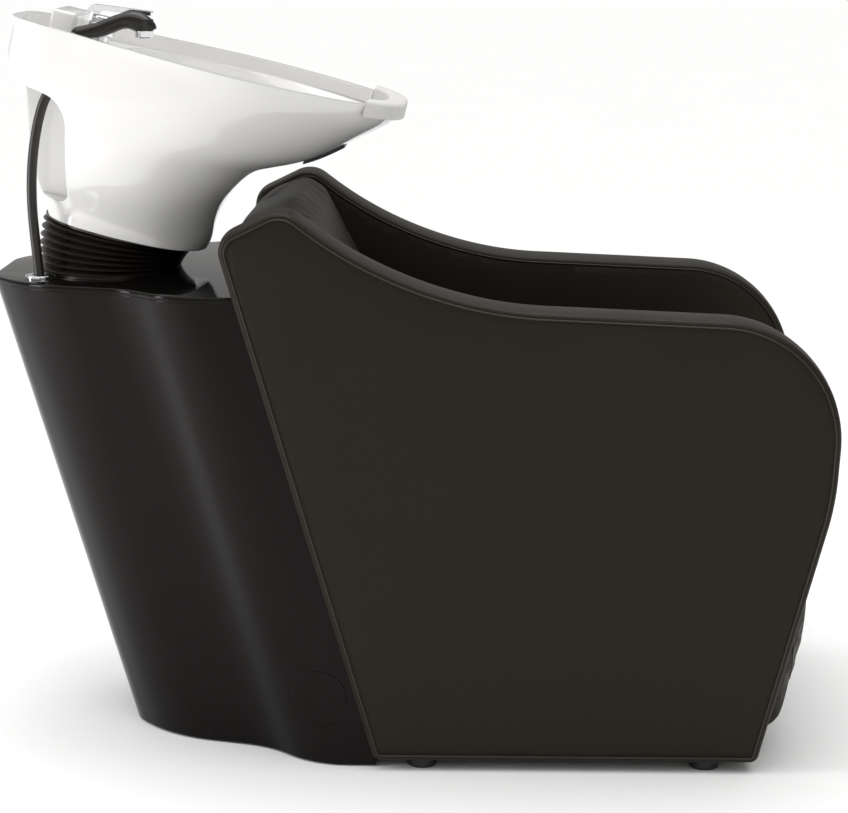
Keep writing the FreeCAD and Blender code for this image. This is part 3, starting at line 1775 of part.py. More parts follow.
def report_route(name, points, radius, solid):
    """Prints a route's bend radii and its volume beside that of a plain tube."""
    wire = corner_wire(route_corners(points), closed=False)
    radii = [round(e.Curve.Radius, 1) for e in wire.Edges if hasattr(e.Curve, "Radius")]
    runs = [round((b - a).Length, 1) for a, b in zip(points, points[1:])]
    tube_volume = math.pi * radius ** 2 * wire.Length
    print(name, "runs", runs, "radii", radii)
    print(name, "length", round(wire.Length, 1), "volume ratio", round(solid.Volume / tube_volume, 4))


def main():
    os.makedirs("parts", exist_ok=True)
    for name, shape in nodes():
        shape.exportStep("parts/" + name + ".step")
        bounds = shape.optimalBoundingBox(True, False)
        low = [round(value, 1) for value in (bounds.XMin, bounds.YMin, bounds.ZMin)]
        high = [round(value, 1) for value in (bounds.XMax, bounds.YMax, bounds.ZMax)]
        volume = round(shape.Volume / 1000, 1)
        print(name, len(shape.Solids), shape.isValid(), volume, "cm3", low, high)
        if name == "shower_hose":
            report_route(name, hose_points(), hose_radius, shape)
        if name == "supply_hose_left":
            report_route(name, supply_points(1), supply_radius, shape)


main()
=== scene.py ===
import json
import math

import bmesh
import bpy
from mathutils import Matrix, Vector, kdtree, noise

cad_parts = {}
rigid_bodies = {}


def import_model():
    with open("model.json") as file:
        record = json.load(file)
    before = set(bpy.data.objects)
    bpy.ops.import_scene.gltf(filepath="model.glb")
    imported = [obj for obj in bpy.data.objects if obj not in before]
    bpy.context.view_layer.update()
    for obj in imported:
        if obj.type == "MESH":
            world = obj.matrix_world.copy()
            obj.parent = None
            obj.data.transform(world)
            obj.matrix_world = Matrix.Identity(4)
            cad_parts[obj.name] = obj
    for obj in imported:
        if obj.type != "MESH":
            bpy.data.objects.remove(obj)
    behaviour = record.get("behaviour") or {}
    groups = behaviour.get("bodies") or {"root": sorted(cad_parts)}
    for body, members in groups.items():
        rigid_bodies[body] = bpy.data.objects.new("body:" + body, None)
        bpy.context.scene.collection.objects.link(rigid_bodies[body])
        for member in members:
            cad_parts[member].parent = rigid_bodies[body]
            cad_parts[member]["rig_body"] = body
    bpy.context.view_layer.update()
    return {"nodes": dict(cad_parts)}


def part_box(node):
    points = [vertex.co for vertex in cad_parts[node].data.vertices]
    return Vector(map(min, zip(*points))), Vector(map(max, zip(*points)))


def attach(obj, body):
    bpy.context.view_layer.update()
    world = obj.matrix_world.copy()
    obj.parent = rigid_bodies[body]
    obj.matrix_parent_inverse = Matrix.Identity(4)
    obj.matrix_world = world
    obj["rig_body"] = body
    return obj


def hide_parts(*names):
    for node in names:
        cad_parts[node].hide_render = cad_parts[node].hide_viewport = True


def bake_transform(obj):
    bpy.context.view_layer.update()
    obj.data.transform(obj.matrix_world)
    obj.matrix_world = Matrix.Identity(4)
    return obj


bl_info = {
    "name": "Hair Washing Bed",
    "version": (1, 0, 0),
    "blender": (4, 5, 0),
    "location": "3D View > Sidebar > Washing Bed",
    "description": "Dresses a salon hair washing bed in upholstery, glaze, gloss and chrome",
    "category": "Object",
}

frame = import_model()

# Sizes that the pieces share with the solids, in metres
HEEL_X = -0.045
SEAT_DEPTH = 0.665
LEAN = math.tan(math.radians(16.1))
CREST = 0.8276
ARM_FOOT = 0.016
ARM_OUTER = 0.320
ARM_INNER = 0.240


def along(share):
    return HEEL_X + share * SEAT_DEPTH


def lean_x(z):
    return HEEL_X - LEAN * z


# The arm's side view outline: x, z and corner radius
ARM_OUTLINE = (
    (lean_x(ARM_FOOT), ARM_FOOT, 0.016),
    (lean_x(0.9435 * CREST), 0.9435 * CREST, 0.032),
    (along(-0.1934), CREST, 0.042),
    (along(0.080), 0.832 * CREST, 0.620),
    (along(1.010), 0.799 * CREST, 0.175),
    (along(0.988), 0.489 * CREST, 0.400),
    (along(0.8354), ARM_FOOT, 0.014),
)

# The shower hose's route, from under the hand shower's guide to the grommet
HOSE_ROUTE = (
    (-0.5365, -0.0850, 0.9737),
    (-0.5428, -0.0852, 0.9627),
    (-0.5494, -0.0863, 0.9460),
    (-0.5569, -0.0890, 0.9171),
    (-0.5631, -0.0940, 0.8758),
    (-0.5653, -0.0995, 0.8342),
    (-0.5638, -0.1055, 0.7925),
    (-0.5596, -0.1120, 0.7511),
    (-0.5540, -0.1190, 0.7005),
)
HOSE_DIAMETER = 0.015

# Heights given for bending the supply hoses, still below the first and carried with the basin above the
# second; the hoses are not bent by them
SUPPLY_STILL = 0.45
SUPPLY_CARRIED = 0.76

# Arms: the pitch of their faces, how fast a face crowns in from its seam, its slight puckers, and
# the corners that a side's face has more of than any narrow face along the edge
PANEL_PITCH = 0.013
CROWN_REACH = 0.028
PUCKER_DEPTH = 0.0011
PUCKER_SCALE = 9.0
PUCKER_REACH = 0.16
FLAT_FACE_CORNERS = 20

# How close vertices of a solid's loose triangles lie where they are joined
JOIN = 2e-5

# Stage: the floor's half width, the front light's power, the room light's colour, and where each
# soft light stands, what it faces and how large it is
FLOOR_REACH = 60.0
FRONT_POWER = 10.0
ROOM_TINT = (1.0, 0.985, 0.97, 1.0)
OVERHEAD_PLACE, OVERHEAD_TARGET, OVERHEAD_SIZE = (0.1, 0.3, 3.4), (0.0, 0.0, 0.4), (2.4, 1.6)
END_PLACE, END_TARGET, END_SIZE = (-2.9, -0.9, 1.2), (-0.45, 0.0, 0.5), (0.6, 2.0)
FRONT_PLACE, FRONT_TARGET, FRONT_SIZE = (1.8, -3.6, 2.2), (0.2, 0.0, 0.5), (2.0, 2.0)

# Camera: its place, its lens in millimetres, and how many degrees it looks down and to the left
CAMERA_PLACE = (0.09939, -3.47854, 1.21520)
CAMERA_LENS = 96.88
CAMERA_DOWN = 11.94
CAMERA_LEFT = 1.35


# Materials

class Amount:
    """A number that varies over a surface, to be added, multiplied and so on."""

    def __init__(self, finish, socket):
        self.finish = finish
        self.socket = socket

    def maths(self, operation, first, second):
        node = self.finish.node("ShaderNodeMath", {"operation": operation}, {0: first, 1: second})
        return Amount(self.finish, node.outputs[0])

    def __add__(self, other):
        return self.maths("ADD", self, other)

    def __radd__(self, other):
        return self.maths("ADD", other, self)

    def __sub__(self, other):
        return self.maths("SUBTRACT", self, other)

    def __rsub__(self, other):
        return self.maths("SUBTRACT", other, self)

    def __mul__(self, other):
        return self.maths("MULTIPLY", self, other)

    def __rmul__(self, other):
        return self.maths("MULTIPLY", other, self)


class Finish:
    """One material: its fixed values, and the nodes that vary it over a surface."""

    def __init__(self, name, **fixed):
        self.material = bpy.data.materials.new(name)
        self.material.use_nodes = True
        self.tree = self.material.node_tree
        self.shader = self.tree.nodes["Principled BSDF"]
        for label, value in fixed.items():
            self.shader.inputs[label.replace("_", " ")].default_value = value
        self.place = self.node("ShaderNodeTexCoord").outputs["Object"]

    def node(self, kind, settings=None, sockets=None):
        made = self.tree.nodes.new(kind)
        for name, value in (settings or {}).items():
            if name == "stops":
                self.set_stops(made.color_ramp, value)
            else:
                setattr(made, name, value)
        for label, value in (sockets or {}).items():
            self.feed(made.inputs[label], value)
        return made

    def set_stops(self, ramp, stops):
        while len(ramp.elements) < len(stops):
            ramp.elements.new(0.5)
        for element, (position, shade) in zip(ramp.elements, stops):
            element.position = position
            element.color = (shade, shade, shade, 1.0)

    def feed(self, socket, value):
        if isinstance(value, Amount):
            value = value.socket
        if isinstance(value, bpy.types.NodeSocket):
            self.tree.links.new(value, socket)
        else:
            socket.default_value = value

    def set(self, **varying):
        for label, value in varying.items():
            self.feed(self.shader.inputs[label.replace("_", " ")], value)

    def stretched(self, x=1.0, y=1.0, z=1.0, turn=(0.0, 0.0, 0.0)):
        node = self.node("ShaderNodeMapping", None, {
            "Vector": self.place, "Scale": (x, y, z), "Rotation": turn,
        })
        return node.outputs[0]

    def cloud(self, scale, detail=3.0, roughness=0.5, place=None, **more):
        """Soft noise from 0 to 1."""
        sockets = {
            "Vector": place or self.place, "Scale": scale, "Detail": detail, "Roughness": roughness,
        }
        node = self.node("ShaderNodeTexNoise", None, sockets | more)
        return Amount(self, node.outputs["Fac"])

    def cells(self, scale, feature="F1", place=None, **more):
        node = self.node("ShaderNodeTexVoronoi", {"feature": feature}, {
            "Vector": place or self.place, "Scale": scale,
        } | more)
        return Amount(self, node.outputs["Distance"])

    def between(self, amount, low, high, low_to=0.0, high_to=1.0):
        node = self.node("ShaderNodeMapRange", {"clamp": True}, {
            "Value": amount, "From Min": low, "From Max": high, "To Min": low_to, "To Max": high_to,
        })
        return Amount(self, node.outputs["Result"])

    def mixed(self, amount, first, second):
        """A colour part of the way from first to second."""
        node = self.node("ShaderNodeMix", {"data_type": "RGBA"})
        self.feed(node.inputs[0], amount)
        self.feed(node.inputs[6], first)
        self.feed(node.inputs[7], second)
        return node.outputs[2]

    def bumped(self, height, distance, strength=1.0, under=None):
        sockets = {"Height": height, "Distance": distance, "Strength": strength}
        if under:
            sockets["Normal"] = under
        return self.node("ShaderNodeBump", None, sockets).outputs[0]

    def rounded_edges(self, radius):
        """Normals turned over sharp edges, as on a cast or moulded piece."""
        return self.node("ShaderNodeBevel", {"samples": 6}, {"Radius": radius}).outputs[0]

    def convex_crest_mask(self):
        """High on convex edges, low in hollows; used for the bellows' gloss and for their painted
        highlight, not for wear.
        """
        node = self.node("ShaderNodeNewGeometry")
        return self.between(Amount(self, node.outputs["Pointiness"]), 0.50, 0.56)


def shade(colour, factor):
    return (colour[0] * factor, colour[1] * factor, colour[2] * factor, 1.0)


def leather(colours):
    """Synthetic leather: pebbled grain, soft mottling and a slight polish that varies with the mottling."""
    finish = Finish(
        "upholstery_leather", Specular_IOR_Level=0.20, Specular_Tint=(1.0, 0.95, 0.88, 1.0),
    )
    base = colours.leather
    mottle = finish.cloud(7.0, 4.0, 0.6)
    pebbles = finish.cells(620.0, "SMOOTH_F1", Smoothness=0.35)
    creases = finish.cells(240.0, "DISTANCE_TO_EDGE")
    fine = finish.cloud(1500.0, 2.0)
    tone = finish.mixed(mottle, shade(base, 0.80), shade(base, 1.18))
    hollows = finish.between(pebbles, 0.15, 0.75)
    finish.set(
        Base_Color=finish.mixed(hollows * 0.30, tone, shade(base, 0.45)),
        Roughness=finish.between(mottle + hollows * 0.22, 0.30, 0.95, 0.38, 0.54),
    )
    height = 1 - pebbles + finish.between(creases, 0.0, 0.12) * 0.35 + fine * 0.25
    finish.set(Normal=finish.bumped(height, 0.00022, 0.75))
    return finish.material


def welt_painted_highlight(colours):
    # Painted highlight: the welts are the upholstery leather's colour made 1.3 to 2.4 times lighter,
    # standing in for the light caught on the round piping.
    finish = Finish("welt_leather_painted_highlight", Specular_IOR_Level=0.40)
    base = colours.leather
    grain = finish.cloud(900.0, 3.0)
    finish.set(
        Base_Color=finish.mixed(grain, shade(base, 1.3), shade(base, 2.4)),
        Roughness=finish.between(grain, 0.2, 0.8, 0.32, 0.44),
        Normal=finish.bumped(grain, 0.00015, 0.5),
    )
    return finish.material


def gloss_shell(colours):
    """High gloss moulded shell: faint flow waves, a little dust and rounded edges."""
    finish = Finish("gloss_black_shell", Specular_IOR_Level=0.13, Specular_Tint=(1.0, 0.94, 0.92, 1.0))
    base = colours.shell
    waves = finish.cloud(3.2, 2.0)
    dust = finish.between(finish.cloud(240.0, 5.0, 0.7), 0.62, 0.80)
    smears = finish.between(finish.cloud(9.0, 4.0, 0.6, place=finish.stretched(1.0, 1.0, 0.35)), 0.35, 0.75)
    low = finish.between(Amount(finish, finish.node(
        "ShaderNodeSeparateXYZ", None, {"Vector": finish.place}).outputs["Z"]), 0.0, 0.16, 1.0, 0.0)
    finish.set(
        Base_Color=finish.mixed(dust * (0.10 + low * 0.35), shade(base, 1.0), (0.11, 0.105, 0.10, 1.0)),
        Roughness=0.045 + smears * 0.05 + dust * 0.12 + low * 0.04,
        Normal=finish.bumped(
            waves, 0.0012, 0.35, under=finish.rounded_edges(0.0022)),
    )
    return finish.material


def glaze(colours):
    """White ceramic: a soft uneven glaze and softly rounded edges."""
    finish = Finish(
        "white_ceramic", Specular_IOR_Level=0.55, Coat_Roughness=0.03, Coat_IOR=1.52,
    )
    base = colours.glaze
    body = finish.cloud(5.0, 3.0)
    specks = finish.between(finish.cells(160.0), 0.0, 0.035, 1.0, 0.0) * finish.between(
        finish.cloud(70.0, 2.0), 0.55, 0.70)
    tone = finish.mixed(body, shade(base, 0.975), shade(base, 1.0))
    finish.set(
        Base_Color=finish.mixed(specks * 0.30, tone, shade(base, 0.72)),
        Roughness=0.07 + finish.cloud(22.0, 3.0) * 0.07,
        Coat_Weight=0.35 + body * 0.25,
        Normal=finish.bumped(finish.cloud(26.0, 2.0), 0.0006, 0.22, under=finish.rounded_edges(0.0035)),
    )
    return finish.material


def chrome(colours):
    """Plated brass: bright, with water marks and fine wiping lines."""
    finish = Finish("polished_chrome", Metallic=1.0)
    base = colours.chrome
    marks = finish.between(finish.cloud(120.0, 5.0, 0.65), 0.50, 0.72)
    wipes = finish.cloud(60.0, 2.0, place=finish.stretched(1.0, 12.0, 12.0))
    finish.set(
        Base_Color=finish.mixed(marks * 0.6, shade(base, 1.0), shade(base, 0.86)),
        Roughness=0.035 + marks * 0.06 + wipes * 0.03,
        Normal=finish.bumped(wipes, 0.00004, 0.3, under=finish.rounded_edges(0.0009)),
    )
    return finish.material


def plastic(name, base, roughness, grain=0.00008, grain_scale=900.0, edge=0.0008):
    """Moulded plastic with a fine spark-eroded grain."""
    finish = Finish(name, Specular_IOR_Level=0.45)
    spark = finish.cloud(grain_scale, 3.0)
    patches = finish.cloud(30.0, 3.0)
    finish.set(
        Base_Color=finish.mixed(patches * 0.5 + spark * 0.3, shade(base, 0.85), shade(base, 1.25)),
        Roughness=roughness - 0.05 + patches * 0.10,
        Normal=finish.bumped(spark, grain, 0.5, under=finish.rounded_edges(edge)),
    )
    return finish.material


def rubber(name, base, roughness=0.5, edge=0.001):
    """Soft black rubber: a talc bloom in patches and a moulded skin."""
    finish = Finish(name, Specular_IOR_Level=0.5)
    bloom = finish.between(finish.cloud(45.0, 5.0, 0.65), 0.45, 0.75)
    skin = finish.cloud(1100.0, 2.0)
    finish.set(
        Base_Color=finish.mixed(bloom * 0.35, shade(base, 1.0), shade(base, 2.1)),
        Roughness=roughness - 0.05 + bloom * 0.14,
        Normal=finish.bumped(skin, 0.00006, 0.5, under=finish.rounded_edges(edge)),
    )
    return finish.material


def bellows_rubber(colours):
    """The bellows: glossy on the folds' crowns, where the colour is also painted lighter as a highlight,
    with a faint brown cast.
    """
    finish = Finish("bellows_rubber", Specular_IOR_Level=0.5)
    base = colours.bellows
    bloom = finish.between(finish.cloud(38.0, 5.0, 0.6, place=finish.stretched(1.0, 1.0, 3.0)), 0.40, 0.80)
    # Painted highlight: the folds' crowns are painted up to twice the base colour and the rest darker, at
    # 0.75 of it; the bloom adds lighter talc patches.
    crown_gloss_and_painted_highlight = finish.convex_crest_mask()
    finish.set(
        Base_Color=finish.mixed(crown_gloss_and_painted_highlight * 0.6 + bloom * 0.2, shade(base, 0.75), shade(base, 2.0)),
        Roughness=0.40 - crown_gloss_and_painted_highlight * 0.12 + bloom * 0.12,
        Normal=finish.bumped(finish.cloud(700.0, 2.0), 0.00008, 0.5),
    )
    return finish.material


def painted_steel():
    finish = Finish("powder_coated_steel", Specular_IOR_Level=0.45)
    peel = finish.cells(900.0, "SMOOTH_F1", Smoothness=0.6)
    patches = finish.cloud(14.0, 4.0)
    finish.set(
        Base_Color=finish.mixed(patches, (0.018, 0.018, 0.019, 1.0), (0.032, 0.032, 0.034, 1.0)),
        Roughness=0.36 + patches * 0.16,
        Normal=finish.bumped(peel, 0.00010, 0.6, under=finish.rounded_edges(0.0010)),
    )
    return finish.material


def zinc_steel():
    finish = Finish("zinc_plated_steel", Metallic=1.0)
    spangle = finish.cells(130.0)
    film = finish.cloud(60.0, 4.0)
    finish.set(
        Base_Color=finish.mixed(spangle, (0.62, 0.61, 0.56, 1.0), (0.78, 0.78, 0.76, 1.0)),
        Roughness=0.26 + film * 0.20,
        Normal=finish.bumped(film, 0.00005, 0.5, under=finish.rounded_edges(0.0006)),
    )
    return finish.material


def brass():
    finish = Finish("satin_brass", Metallic=1.0)
    tarnish = finish.between(finish.cloud(50.0, 5.0, 0.6), 0.35, 0.75)
    turned = finish.cloud(90.0, 2.0, place=finish.stretched(1.0, 1.0, 14.0))
    finish.set(
        Base_Color=finish.mixed(tarnish, (0.80, 0.61, 0.30, 1.0), (0.52, 0.37, 0.16, 1.0)),
        Roughness=0.22 + turned * 0.12 + tarnish * 0.12,
        Normal=finish.bumped(turned, 0.00005, 0.5, under=finish.rounded_edges(0.0008)),
    )
    return finish.material


def braided_steel():
    """Fine crossed braid of a supply hose."""
    finish = Finish("braided_steel", Metallic=1.0)
    one_way = finish.node("ShaderNodeTexWave", {"bands_direction": "DIAGONAL"}, {
        "Vector": finish.place, "Scale": 190.0, "Distortion": 0.6}).outputs["Fac"]
    other_way = finish.node("ShaderNodeTexWave", {"bands_direction": "DIAGONAL"}, {
        "Vector": finish.stretched(-1.0, 1.0, 1.0), "Scale": 190.0, "Distortion": 0.6}).outputs["Fac"]
    weave = Amount(finish, one_way) * Amount(finish, other_way)
    finish.set(
        Base_Color=finish.mixed(weave, (0.30, 0.30, 0.31, 1.0), (0.74, 0.75, 0.76, 1.0)),
        Roughness=0.42 - weave * 0.14,
        Normal=finish.bumped(weave, 0.00030, 0.8),
    )
    return finish.material


def plywood():
    """Birch ply: long grain on the faces and plies on the edges."""
    finish = Finish("birch_plywood", Specular_IOR_Level=0.3)
    grain = finish.cloud(14.0, 6.0, 0.6, place=finish.stretched(0.25, 8.0, 8.0), Distortion=0.6)
    plies = Amount(finish, finish.node("ShaderNodeTexWave", {"bands_direction": "Y"}, {
        "Vector": finish.place, "Scale": 150.0}).outputs["Fac"])
    tone = finish.mixed(grain, (0.60, 0.44, 0.27, 1.0), (0.72, 0.57, 0.38, 1.0))
    finish.set(
        Base_Color=finish.mixed(plies * 0.18, tone, (0.42, 0.28, 0.15, 1.0)),
        Roughness=0.52 + grain * 0.2,
        Normal=finish.bumped(grain + plies * 0.2, 0.0003, 0.5),
    )
    return finish.material


# Making meshes

def finished(name, mesh, material, body, smooth=True):
    """Turns a bmesh into an object that rides on a body, or on none where body is None."""
    data = bpy.data.meshes.new(name)
    mesh.to_mesh(data)
    mesh.free()
    data.materials.append(material)
    for polygon in data.polygons:
        polygon.use_smooth = smooth
    piece = bpy.data.objects.new(name, data)
    bpy.context.scene.collection.objects.link(piece)
    if body:
        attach(piece, body)
    return piece


def rounded_outline(mesh, corners, flat=False, step=0.006):
    """One face from (along, up or across, radius) corners, each rounded by a vertex bevel."""
    if flat:
        points = [Vector((a, b, 0.0)) for a, b, _ in corners]
    else:
        points = [Vector((a, 0.0, b)) for a, b, _ in corners]
    verts = [mesh.verts.new(point) for point in points]
    mesh.faces.new(verts)
    for index, vert in enumerate(verts):
        radius = corners[index][2]
        if not radius:
            continue
        back = points[index - 1] - points[index]
        ahead = points[(index + 1) % len(points)] - points[index]
        half_angle = back.angle(ahead) / 2
        arc = radius * (math.pi - 2 * half_angle)
        # An oblique corner needs a fuller profile than 0.5 for its middle to lie on a true arc
        fullness = (1 - 1 / (2 * (1 + math.sin(half_angle)))) ** 2
        bmesh.ops.bevel(
            mesh, geom=[vert], offset=radius / math.tan(half_angle), offset_type="OFFSET",
            segments=max(4, min(48, round(arc / step))), profile=fullness, affect="VERTICES", material=-1,
        )
    return mesh.faces[:][0]


def pulled(mesh, face, vector):
    """The face extruded into a closed solid."""
    made = bmesh.ops.extrude_face_region(mesh, geom=[face])
    moved = [item for item in made["geom"] if isinstance(item, bmesh.types.BMVert)]
    bmesh.ops.translate(mesh, verts=moved, vec=vector)
    bmesh.ops.recalc_face_normals(mesh, faces=mesh.faces[:])


def gridded(mesh, faces, pitch, axes):
    """Cuts the faces by planes a pitch apart, so that they can be shaped."""
    for axis in axes:
        normal = Vector((0.0, 0.0, 0.0))
        normal[axis] = 1.0
        places = [vert.co[axis] for face in faces for vert in face.verts]
        low, high = min(places), max(places)
        count = max(1, round((high - low) / pitch))
        for i in range(1, count):
            point = normal * (low + (high - low) * i / count)
            edges = {edge for face in faces for edge in face.edges}
            verts = {vert for face in faces for vert in face.verts}
            cut = bmesh.ops.bisect_plane(
                mesh, geom=list(faces) + list(edges) + list(verts), dist=1e-6,
                plane_co=point, plane_no=normal,
            )
            faces = [item for item in cut["geom"] if isinstance(item, bmesh.types.BMFace)]
    return faces


def loop_tree(points, pitch=0.003):
    """A search tree of points every few millimetres round a closed loop."""
    spots = []
    for start, end in zip(points, points[1:] + points[:1]):
        count = max(1, int((end - start).length / pitch))
        spots += [start.lerp(end, i / count) for i in range(count)]
    tree = kdtree.KDTree(len(spots))
    for index, spot in enumerate(spots):
        tree.insert(spot, index)
    tree.balance()
    return tree


def bent_by_tilt(piece, still, carried):
    """Takes a piece's place into its mesh; it is not bent as the basin tilts, and the heights still and
    carried are not used.
    """
    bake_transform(piece)


def smooth_copy(node, name, material, angle=32.0, bend=None):
    """A CAD node's shape with its triangles joined and its curved faces smooth."""
    source = frame["nodes"][node]
    mesh = bmesh.new()
    mesh.from_mesh(source.data)
    bmesh.ops.remove_doubles(mesh, verts=mesh.verts[:], dist=JOIN)
    for edge in mesh.edges:
        edge.smooth = not edge.is_manifold or edge.calc_face_angle(0.0) < math.radians(angle)
    for face in mesh.faces:
        face.material_index = 0
    piece = finished(name, mesh, material, None if bend else source["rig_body"])
    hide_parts(node)
    if bend:
        bent_by_tilt(piece, *bend)
    return piece


def painted(node, material):
    """Gives a CAD node its finish."""
    target = frame["nodes"][node]
    target.data.materials.clear()
    target.data.materials.append(material)


# Arms

def arm_panel(name, side, material, welt_material, sizes):
    """A padded arm: a boxed edge between two welted seams, with softly crowned faces."""
    mesh = bmesh.new()
    face = rounded_outline(mesh, ARM_OUTLINE)
    thickness = ARM_OUTER - ARM_INNER
    pulled(mesh, face, Vector((0.0, thickness, 0.0)))
    faces = [item for item in mesh.faces if len(item.verts) > FLAT_FACE_CORNERS]
    rims = {edge for item in faces for edge in item.edges}
    bmesh.ops.bevel(
        mesh, geom=list(rims), offset=sizes.arm_edge, offset_type="OFFSET",
        segments=6, profile=0.5, affect="EDGES", material=-1,
    )
    faces = [item for item in mesh.faces if len(item.verts) > FLAT_FACE_CORNERS]
    seams = []
    boxing = [item for item in mesh.faces if item not in faces and abs(item.normal.y) < 0.02]
    gridded(mesh, boxing, thickness / 6, (1,))
    for item in faces:
        outward = item.normal.y
        seams.append([loop.vert.co.copy() for loop in item.loops])
        bmesh.ops.inset_region(
            mesh, faces=[item], thickness=sizes.seam_width, depth=-sizes.seam_depth, use_even_offset=True)
        bmesh.ops.inset_region(
            mesh, faces=[item], thickness=sizes.seam_width * 1.6, depth=sizes.seam_depth * 0.55,
            use_even_offset=True)
        seam = loop_tree([Vector((spot.x, 0.0, spot.z)) for spot in seams[-1]])
        panel = gridded(mesh, [item], PANEL_PITCH, (0, 2))
        for vert in {vert for part in panel for vert in part.verts}:
            depth = seam.find(Vector((vert.co.x, 0.0, vert.co.z)))[2]
            rise = sizes.arm_crown * (1 - math.exp(-depth / CROWN_REACH))
            pucker = noise.noise(vert.co * PUCKER_SCALE) * PUCKER_DEPTH * math.exp(-depth / PUCKER_REACH)
            vert.co.y += outward * (rise + pucker)
    middle = thickness / 2
    for vert in mesh.verts:
        across = abs(vert.co.y - middle) / middle
        if across < 0.80:
            vert.co += vert.normal * sizes.arm_crown * 0.45 * (1 - (across / 0.80) ** 2)
    bmesh.ops.translate(mesh, verts=mesh.verts[:], vec=(0.0, ARM_INNER, 0.0))
    if side < 0:
        bmesh.ops.scale(mesh, vec=(1.0, -1.0, 1.0), verts=mesh.verts[:])
    bmesh.ops.recalc_face_normals(mesh, faces=mesh.faces[:])
    arm = finished(name, mesh, material, "seat_and_pedestal")
    for index, points in enumerate(seams):
        line = [Vector((p.x, side * (p.y + ARM_INNER), p.z)) for p in points]
        welt(f"{name}_welt_{index + 1}", line, sizes.welt_radius, welt_material)
    return arm


def welt(name, points, radius, material, body="seat_and_pedestal"):
    """Thin piping along a seam."""
    data = bpy.data.curves.new(name, "CURVE")
    data.dimensions = "3D"
    data.bevel_depth = radius
    data.bevel_resolution = 3
    spline = data.splines.new("POLY")
    spline.points.add(len(points) - 1)
    for spot, point in zip(spline.points, points):
        spot.co = (*point, 1.0)
    spline.use_cyclic_u = True
    data.materials.append(material)
    piece = bpy.data.objects.new(name, data)
    bpy.context.scene.collection.objects.link(piece)
    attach(piece, body)
    return piece


# Cushions

def stuffed(name, node, material, open_sides, swell, pressure=4.0, voxel=0.0065):
    """A cushion blown up from its solid by a short cloth simulation.

    It swells only towards its open sides, and by no more than swell, so it stays clear of
    the arms and boards that hold it.
    """
    mesh = bmesh.new()
    mesh.from_mesh(frame["nodes"][node].data)
    bmesh.ops.remove_doubles(mesh, verts=mesh.verts[:], dist=JOIN)
    cushion = finished(name, mesh, material, "seat_and_pedestal")
    remesh = cushion.modifiers.new("even_cells", "REMESH")
    remesh.mode = "VOXEL"
    remesh.voxel_size = voxel
    keep_modifier(cushion)
    flat = [(vert.co.copy(), vert.normal.copy()) for vert in cushion.data.vertices]
    blow_up(cushion, pressure)
    for vert, (place, normal) in zip(cushion.data.vertices, flat):
        openness = max(normal.dot(Vector(side).normalized()) for side in open_sides)
        moved = (vert.co - place) * min(1.0, max(0.0, openness * 1.6))
        vert.co = place + moved * min(1.0, swell / max(moved.length, 1e-9))
    finer = cushion.modifiers.new("finer", "SUBSURF")
    finer.levels = finer.render_levels = 1
    keep_modifier(cushion)
    return cushion


def blow_up(piece, pressure, frames=20):
    """Runs a cloth simulation with pressure inside a closed piece, and keeps its result."""
    cloth = piece.modifiers.new("stuffing", "CLOTH")
    cloth.settings.use_pressure = True
    cloth.settings.uniform_pressure_force = pressure
    cloth.settings.effector_weights.gravity = 0.0
    cloth.point_cache.frame_start = 1
    cloth.point_cache.frame_end = frames
    for step in range(1, frames + 1):
        bpy.context.scene.frame_set(step)
    keep_modifier(piece)
    bpy.context.scene.frame_set(1)


def seam_line(piece, point, normal, pitch=0.012):
    """Points a pitch apart round the loop where a plane cuts a piece."""
    mesh = bmesh.new()
    mesh.from_mesh(piece.data)
    cut = bmesh.ops.bisect_plane(
        mesh, geom=mesh.verts[:] + mesh.edges[:] + mesh.faces[:], dist=1e-6,
        plane_co=point, plane_no=normal,
    )
    edges = {item for item in cut["geom_cut"] if isinstance(item, bmesh.types.BMEdge)}
    loops = []
    while edges:
        loop = list(edges.pop().verts)
        while ahead := [edge for edge in loop[-1].link_edges if edge in edges]:
            edges.discard(ahead[0])
            loop.append(ahead[0].other_vert(loop[-1]))
        loops.append([vert.co.copy() for vert in loop])
    mesh.free()
    longest = max(loops, key=len)
    kept = [longest[0]]
    for spot in longest[1:]:
        if (spot - kept[-1]).length >= pitch and (spot - kept[0]).length >= pitch:
            kept.append(spot)
    return kept


def as_mesh(piece):
    """A new mesh of a piece as it stands, with its modifiers or its curve's bevel."""
    graph = bpy.context.evaluated_depsgraph_get()
    return bpy.data.meshes.new_from_object(piece.evaluated_get(graph))


def keep_modifier(piece):
    """Applies a piece's modifiers to its mesh."""
    made = as_mesh(piece)
    piece.modifiers.clear()
    piece.data = made
    for polygon in made.polygons:
        polygon.use_smooth = True


# Settings

class BedColours(bpy.types.PropertyGroup):
    leather: bpy.props.FloatVectorProperty(
        name="Leather", description="Base colour of the upholstery",
        subtype="COLOR", size=3, min=0.0, max=1.0, default=(0.0122, 0.0094, 0.0058))
    shell: bpy.props.FloatVectorProperty(
        name="Pedestal", description="Base colour of the gloss pedestal",
        subtype="COLOR", size=3, min=0.0, max=1.0, default=(0.0042, 0.0038, 0.0034))
    glaze: bpy.props.FloatVectorProperty(
        name="Basin", description="Base colour of the ceramic glaze",
        subtype="COLOR", size=3, min=0.0, max=1.0, default=(0.80, 0.795, 0.785))
    chrome: bpy.props.FloatVectorProperty(
        name="Chrome", description="Colour of the plated metal",
        subtype="COLOR", size=3, min=0.0, max=1.0, default=(0.78, 0.79, 0.80))
    bellows: bpy.props.FloatVectorProperty(
        name="Bellows", description="Base colour of the bellows",
        subtype="COLOR", size=3, min=0.0, max=1.0, default=(0.014, 0.010, 0.008))


